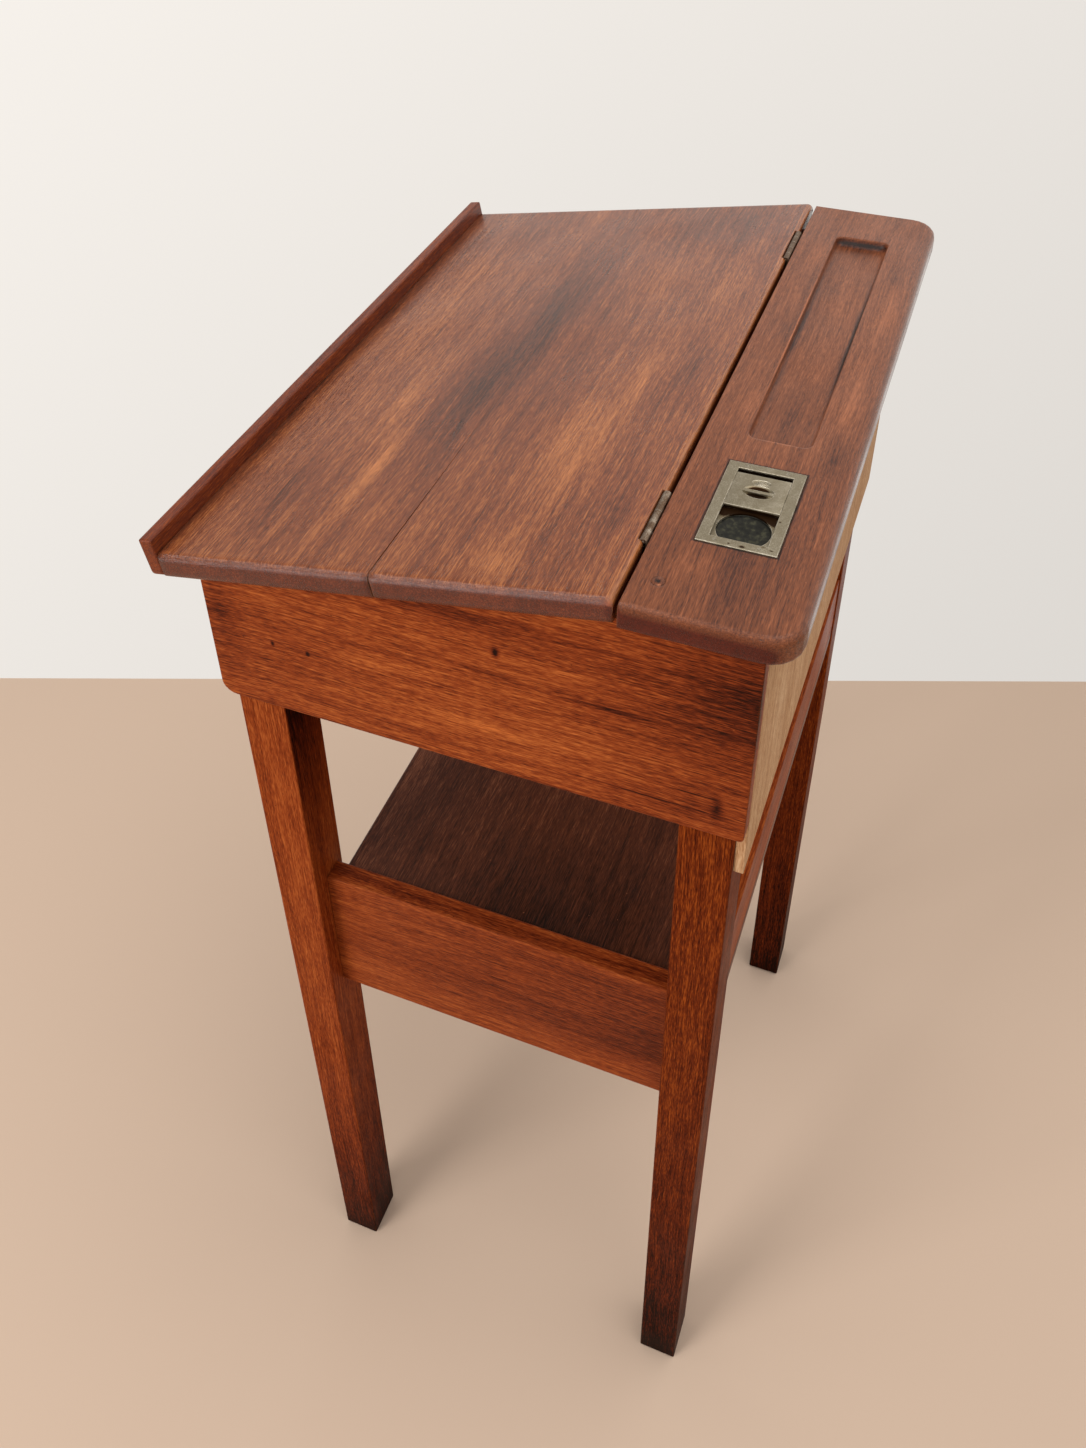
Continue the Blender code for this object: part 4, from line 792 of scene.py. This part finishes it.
class DESK_OT_finish_hardware(bpy.types.Operator):
    """Gives the hinges, the inkwell and its pot their metals and glaze"""

    bl_idname = "desk.finish_hardware"
    bl_label = "Finish the hardware"

    def execute(self, context):
        # Rolled steel, blued and then rusted: dark brown, with a skin of 1 mm grit, and knuckles
        # rubbed bright, with painted highlights along their edges
        rust = (linear("#2A140B"), linear("#49301F"), linear("#6E5A49"), linear("#C4B8A8"))
        steel = metal("worn_rolled_steel", rust, 0.45, 900.0, (), 0.9)

        # Sand-cast brass, tarnished: grey-green and satin, with a skin of 0.7 mm grit, dark pits and
        # pale edges, worn and with painted highlights. Ink has dried on the base, under the cover, with
        # painted shadow along the cover's edge.
        tarnish = (linear("#2E1D10"), linear("#74664F"), linear("#8A816D"), linear("#DED6C6"))
        plate = metal("tarnished_cast_brass", tarnish, 0.46, 1400.0, PLATE_MARKS, 0.25)
        cover = metal("tarnished_cast_brass_cover", tarnish, 0.46, 1400.0, COVER_MARKS, 0.35)
        base = metal("inky_shadowed_cast_brass", tarnish, 0.55, 1400.0, BASE_MARKS, 0.5)
        for name in NODES:
            if name.startswith("hinge_"):
                dress([name], steel)
            if name.startswith("rivet_"):
                dress([name], plate)
        dress(["inkwell_frame"], plate)
        dress(["inkwell_base"], base)
        dress(["inkwell_cover"], cover)

        # Stoneware, salt-glazed: dark and glossy, and dull where ink has dried on it
        glaze, tree, shader = new_material("salt_glazed_stoneware")
        place = add(tree, "TexCoord").outputs["Object"]
        stain = add(tree, "TexNoise", {"Vector": place, "Scale": 90.0, "Detail": 4.0}).outputs["Fac"]
        tint = add(tree, "ValToRGB", {"Fac": stain}, [(0.35, linear("#1D1D1A")), (0.7, linear("#4A4A42"))])
        tree.links.new(tint.outputs[0], shader.inputs["Base Color"])
        rough = add(tree, "MapRange", {"Value": stain, "To Min": 0.35, "To Max": 0.75})
        tree.links.new(rough.outputs[0], shader.inputs["Roughness"])
        dress(["ink_pot"], glaze)
        return {"FINISHED"}


class DESK_OT_split_back(bpy.types.Operator):
    """Saws the bare back board, with its drying splits and its broken lower corner"""

    bl_idname = "desk.split_back"
    bl_label = "Split the back board"

    def execute(self, context):
        low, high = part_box("back_panel")
        back = NODES["back_panel"].copy()
        back.data = NODES["back_panel"].data.copy()
        back.parent = None
        context.scene.collection.objects.link(back)
        back.name = "back_board"
        open_mesh(back)
        bpy.ops.mesh.remove_doubles(threshold=0.00001)
        bpy.ops.mesh.dissolve_limited(angle_limit=math.radians(0.5))
        close_mesh()

        # Each split goes right through the board: where its middle is, how wide and how tall
        middle = (low.y + high.y) / 2
        through = 0.03
        for x, z, width, height in (
            (0.213, 0.992, 0.0013, 0.044),
            (0.150, 0.948, 0.0008, 0.050),
            (0.273, 0.993, 0.0009, 0.036),
        ):
            deselect()
            bpy.ops.mesh.primitive_cylinder_add(
                vertices=12, radius=0.5, depth=1.0, location=(x, middle, z),
                rotation=(math.radians(90.0), 0.0, 0.0), scale=(width, height, through),
            )
            combine(back, settle("split"), "DIFFERENCE")

        # The lower corner behind the near leg has split away along the grain, on a slant
        centre = Vector((0.2812, middle, 0.905))
        slanted = (0.0045, 0.0, -0.006)
        deselect()
        bpy.ops.mesh.primitive_cube_add(size=1.0, location=centre, scale=(0.009, through, 0.100))
        corner = settle("corner")
        open_mesh(corner)
        choose(corner, "VERT", lambda point, normal: point.z > centre.z and point.x < centre.x)
        bpy.ops.transform.translate(value=slanted)
        close_mesh()
        combine(back, corner, "DIFFERENCE")

        # Pine, sawn and left bare, as the box floor is
        board = timber("bare_sawn_pine_back", "Z", BARE_TONES, (3.3, 4.1, 8.7), gloss=0.75, relief=1.6)
        finish(back, board, "stand")
        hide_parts("back_panel")
        return {"FINISHED"}


class DESK_OT_glue_planks(bpy.types.Operator):
    """Fills the tight part of the joint between the lid's planks"""

    bl_idname = "desk.glue_planks"
    bl_label = "Glue the planks"

    def execute(self, context):
        # The joint lies down the slope from the rear arris, and is tight from its left end to here
        down = Vector((0.0, -math.cos(LID_SLOPE), -math.sin(LID_SLOPE)))
        inward = Vector((0.0, math.sin(LID_SLOPE), -math.cos(LID_SLOPE)))
        start, end = -0.3028, 0.136
        joint, width, depth, below = 0.1732, 0.00042, 0.018, 0.00005
        middle = LID_ARRIS + down * joint + inward * (depth / 2 + below)
        middle.x = (start + end) / 2
        deselect()
        bpy.ops.mesh.primitive_cube_add(
            size=1.0, location=middle, rotation=(LID_SLOPE, 0.0, 0.0), scale=(end - start, width, depth),
        )
        line = settle("glue_line")

        # The glue thins to a feather where the joint starts to open
        feather, thinned = 0.012, 0.2
        open_mesh(line)
        choose(line, "FACE", lambda point, normal: normal.x > 0.9)
        bpy.ops.mesh.extrude_region_move(TRANSFORM_OT_translate={"value": (feather, 0.0, 0.0)})
        bpy.ops.transform.resize(value=(1.0, thinned, 1.0))
        close_mesh()

        # Hide glue, dried and rubbed over with polish: the wood's own brown, a shade darker
        material, tree, shader = new_material("dried_hide_glue")
        place = add(tree, "TexCoord").outputs["Object"]
        dust = add(tree, "TexNoise", {"Vector": place, "Scale": 60.0, "Detail": 3.0}).outputs["Fac"]
        tint = add(tree, "ValToRGB", {"Fac": dust}, [(0.35, linear("#4E2A19")), (0.65, linear("#7A4429"))])
        tree.links.new(tint.outputs[0], shader.inputs["Base Color"])
        shader.inputs["Roughness"].default_value = 0.5
        finish(line, material, "lid")
        return {"FINISHED"}


class DESK_OT_cast_cover(bpy.types.Operator):
    """Casts the inkwell's sliding cover, with its dished finger grips and a small fan"""

    bl_idname = "desk.cast_cover"
    bl_label = "Cast the cover"

    def execute(self, context):
        sizes = context.scene.desk_inkwell
        low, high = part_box("inkwell_cover")
        middle = (low + high) / 2
        length, width, thick = high - low
        deselect()
        between_lips = width - 2 * sizes.tongue
        bpy.ops.mesh.primitive_cube_add(size=1.0, location=middle, scale=(length, between_lips, thick))
        cover = settle("slid_cover")

        # The lips along both sides, under the frame, and a soft edge round the top
        lip_top, soft_edge = low.z + 0.0013, 0.0005
        open_mesh(cover)
        bpy.ops.mesh.bisect(plane_co=(0.0, 0.0, lip_top), plane_no=(0.0, 0.0, 1.0))
        for side in (-1, 1):
            choose(cover, "FACE", lambda point, normal: normal.y * side > 0.9 and point.z < lip_top)
            outward = (0.0, side * sizes.tongue, 0.0)
            bpy.ops.mesh.extrude_region_move(TRANSFORM_OT_translate={"value": outward})
        choose(cover, "EDGE", lambda point, normal: abs(point.z - high.z) < 0.00001)
        bpy.ops.mesh.bevel(offset=soft_edge, segments=3, affect="EDGES")
        close_mesh()

        # Each grip is half of a shallow dish, and the rib between them is left standing
        rib = 0.1651
        for side in (-1, 1):
            deselect()
            bpy.ops.mesh.primitive_uv_sphere_add(
                segments=48, ring_count=24, radius=1.0, location=(rib, middle.y, high.z),
                scale=(sizes.grip_reach, sizes.grip_length / 2, sizes.grip_depth),
            )
            dish = settle("dish")
            open_mesh(dish)
            edge = (rib + side * sizes.rib / 2, 0.0, 0.0)
            bpy.ops.mesh.bisect(plane_co=edge, plane_no=(side, 0.0, 0.0), use_fill=True, clear_inner=True)
            close_mesh()
            combine(cover, dish, "DIFFERENCE")

        # A fan of five petals lies in a shallow hollow before the grips. It rises 0.1 mm over the
        # face, and stays under the frame's top.
        petal_long, petal_wide, petal_high, sunk = 0.0027, 0.00080, 0.0009, 0.0008
        root = Vector((rib - sizes.grip_reach - 0.0004, middle.y, high.z - sunk))
        deselect()
        bpy.ops.mesh.primitive_uv_sphere_add(
            segments=32, ring_count=16, radius=1.0, location=(root.x - petal_long, middle.y, high.z),
            scale=(petal_long * 1.25, petal_long * 2.5, sunk),
        )
        combine(cover, settle("hollow"), "DIFFERENCE")
        for turn in (-64, -32, 0, 32, 64):
            angle = math.radians(turn)
            aim = Vector((-math.cos(angle), math.sin(angle), 0.0))
            deselect()
            bpy.ops.mesh.primitive_uv_sphere_add(
                segments=16, ring_count=8, radius=1.0, location=root + aim * petal_long,
                rotation=(0.0, 0.0, -angle), scale=(petal_long, petal_wide, petal_high),
            )
            combine(cover, settle("petal"), "UNION")
        finish(cover, bpy.data.materials["tarnished_cast_brass_cover"], "well_cover", 30.0)
        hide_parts("inkwell_cover")
        return {"FINISHED"}


class DESK_OT_dry_ink(bpy.types.Operator):
    """Lays the cracked cake of dried ink in the pot"""

    bl_idname = "desk.dry_ink"
    bl_label = "Dry the ink"

    def execute(self, context):
        low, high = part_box("ink_pot")
        middle = (low + high) / 2
        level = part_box("inkwell_base")[1].z - context.scene.desk_inkwell.ink_level
        radius, thick = 0.0191, 0.003
        deselect()
        bpy.ops.mesh.primitive_cylinder_add(
            vertices=64, radius=radius, depth=thick, end_fill_type="NGON",
            location=(middle.x, middle.y, level - thick / 2),
        )
        cake = settle("dried_ink")

        # It has sunk towards its middle as it dried: each ring's width, and how far it drops
        rings = ((0.0012, 0.0002), (0.0024, 0.0006), (0.0034, 0.0006), (0.0040, 0.0003), (0.0040, 0.0001))
        open_mesh(cake)
        choose(cake, "FACE", lambda point, normal: normal.z > 0.9)
        for width, drop in rings:
            bpy.ops.mesh.inset(thickness=width)
            bpy.ops.transform.translate(value=(0.0, 0.0, -drop))
        bpy.ops.mesh.poke()
        choose(cake, "FACE", lambda point, normal: normal.z > 0.5)
        bpy.ops.mesh.subdivide(number_cuts=1)
        bpy.ops.mesh.vertices_smooth(factor=0.5, repeat=1)
        choose(cake, "VERT", lambda point, normal: normal.z > 0.9)
        bpy.ops.transform.vertex_random(offset=0.00012, seed=4)
        close_mesh()

        # Iron gall ink, dried to a crust: matt and near black, with olive clouds of 4 mm and pits
        # of 2 to 3 mm
        material, tree, shader = new_material("dried_iron_gall_ink")
        place = add(tree, "TexCoord").outputs["Object"]
        patches = add(tree, "TexNoise", {"Vector": place, "Scale": 240.0, "Detail": 4.0}).outputs["Fac"]
        stops = [(0.30, linear("#0E0D09")), (0.52, linear("#201F17")), (0.72, linear("#42402F"))]
        tint = add(tree, "ValToRGB", {"Fac": patches}, stops)
        holes = add(tree, "TexVoronoi", {"Vector": place, "Scale": 110.0}).outputs["Distance"]
        feeds = {"Value": holes, "From Min": 0.12, "From Max": 0.2, "To Min": 1.0, "To Max": 0.0}
        pit = add(tree, "MapRange", feeds)
        feeds = {SHARE: pit, COLOUR_A: tint, COLOUR_B: linear("#080806")}
        tint = add(tree, "Mix", feeds, data_type="RGBA").outputs[COLOUR_OUT]
        tree.links.new(tint, shader.inputs["Base Color"])
        shader.inputs["Roughness"].default_value = 0.62
        shader.inputs["Specular IOR Level"].default_value = 0.25
        depth = add(tree, "Math", {0: pit, 1: -1.0, 2: patches}, operation="MULTIPLY_ADD")
        bump = add(tree, "Bump", {"Height": depth, "Strength": 0.8, "Distance": 0.0006})
        tree.links.new(bump.outputs[0], shader.inputs["Normal"])
        finish(cake, material, "stand", 60.0)
        return {"FINISHED"}


class DESK_OT_drive_screws(bpy.types.Operator):
    """Drives three slotted screws into each leaf of both hinges"""

    bl_idname = "desk.drive_screws"
    bl_label = "Drive the screws"

    def execute(self, context):
        # One screw head is turned and slotted, and the others are copies of it
        sizes = context.scene.desk_hinges
        height = 0.0006
        deselect()
        bpy.ops.mesh.primitive_cylinder_add(vertices=32, radius=sizes.screw_radius, depth=height)
        screw = settle("hinge_screw")
        open_mesh(screw)
        choose(screw, "EDGE", lambda point, normal: point.z > 0.0 and abs(normal.z) < 0.1)
        bpy.ops.mesh.bevel(offset=height * 0.5, segments=2, affect="EDGES")
        close_mesh()
        deselect()
        slot_size = (3 * sizes.screw_radius, sizes.screw_radius * 0.28, height)
        bpy.ops.mesh.primitive_cube_add(size=1.0, location=(0.0, 0.0, height * 0.6), scale=slot_size)
        combine(screw, settle("slot"), "DIFFERENCE")

        # Each leaf takes three, no two slots turned alike
        count = 0
        steel = bpy.data.materials["worn_rolled_steel"]
        from_foot = 0.006
        for side in ("left", "right"):
            for leaf, body, facing, face in (
                ("board_leaf", "stand", -1, BOARD_LEAF_FACE),
                ("lid_leaf", "lid", 1, LID_LEAF_FACE),
            ):
                low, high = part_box(f"hinge_{side}_{leaf}")
                for step in (-1, 0, 1):
                    turn = Matrix.Rotation(math.radians(-90.0 * facing), 4, "X")
                    twist = Matrix.Rotation(math.radians(37.0 * count), 4, "Z")
                    spot = ((low.x + high.x) / 2 + step * sizes.screw_pitch, face, low.z + from_foot)
                    copy = screw.copy()
                    copy.data = screw.data.copy()
                    copy.name = f"hinge_screw_{count:02d}"
                    copy.data.transform(Matrix.Translation(spot) @ turn @ twist)
                    context.scene.collection.objects.link(copy)
                    finish(copy, steel, body)
                    count += 1
        bpy.data.objects.remove(screw)
        return {"FINISHED"}


class DESK_PT_sidebar(bpy.types.Panel):
    """Lists the desk's pieces and finishes"""

    bl_label = "Writing Desk"
    bl_idname = "DESK_PT_sidebar"
    bl_space_type = "VIEW_3D"
    bl_region_type = "UI"
    bl_category = "Writing Desk"

    def draw(self, context):
        layout = self.layout
        for operator in OPERATORS:
            layout.operator(operator.bl_idname)
        for name, group in GROUPS.items():
            box = layout.box()
            for size in group.__annotations__:
                box.prop(getattr(context.scene, name), size)


OPERATORS = (
    DESK_OT_lay_stage,
    DESK_OT_finish_timber,
    DESK_OT_finish_hardware,
    DESK_OT_split_back,
    DESK_OT_glue_planks,
    DESK_OT_cast_cover,
    DESK_OT_dry_ink,
    DESK_OT_drive_screws,
)
GROUPS = {
    "desk_colours": DeskColours,
    "desk_inkwell": DeskInkwell,
    "desk_hinges": DeskHinges,
    "desk_stage": DeskStage,
}
CLASSES = (*GROUPS.values(), *OPERATORS, DESK_PT_sidebar)


def register():
    for cls in CLASSES:
        bpy.utils.register_class(cls)
    for name, group in GROUPS.items():
        setattr(bpy.types.Scene, name, PointerProperty(type=group))


def unregister():
    for name in GROUPS:
        delattr(bpy.types.Scene, name)
    for cls in reversed(CLASSES):
        bpy.utils.unregister_class(cls)


def main():
    register()
    bpy.ops.desk.lay_stage()
    bpy.ops.desk.finish_timber()
    bpy.ops.desk.finish_hardware()
    bpy.ops.desk.split_back()
    bpy.ops.desk.glue_planks()
    bpy.ops.desk.cast_cover()
    bpy.ops.desk.dry_ink()
    bpy.ops.desk.drive_screws()


if __name__ == "__main__":
    main()
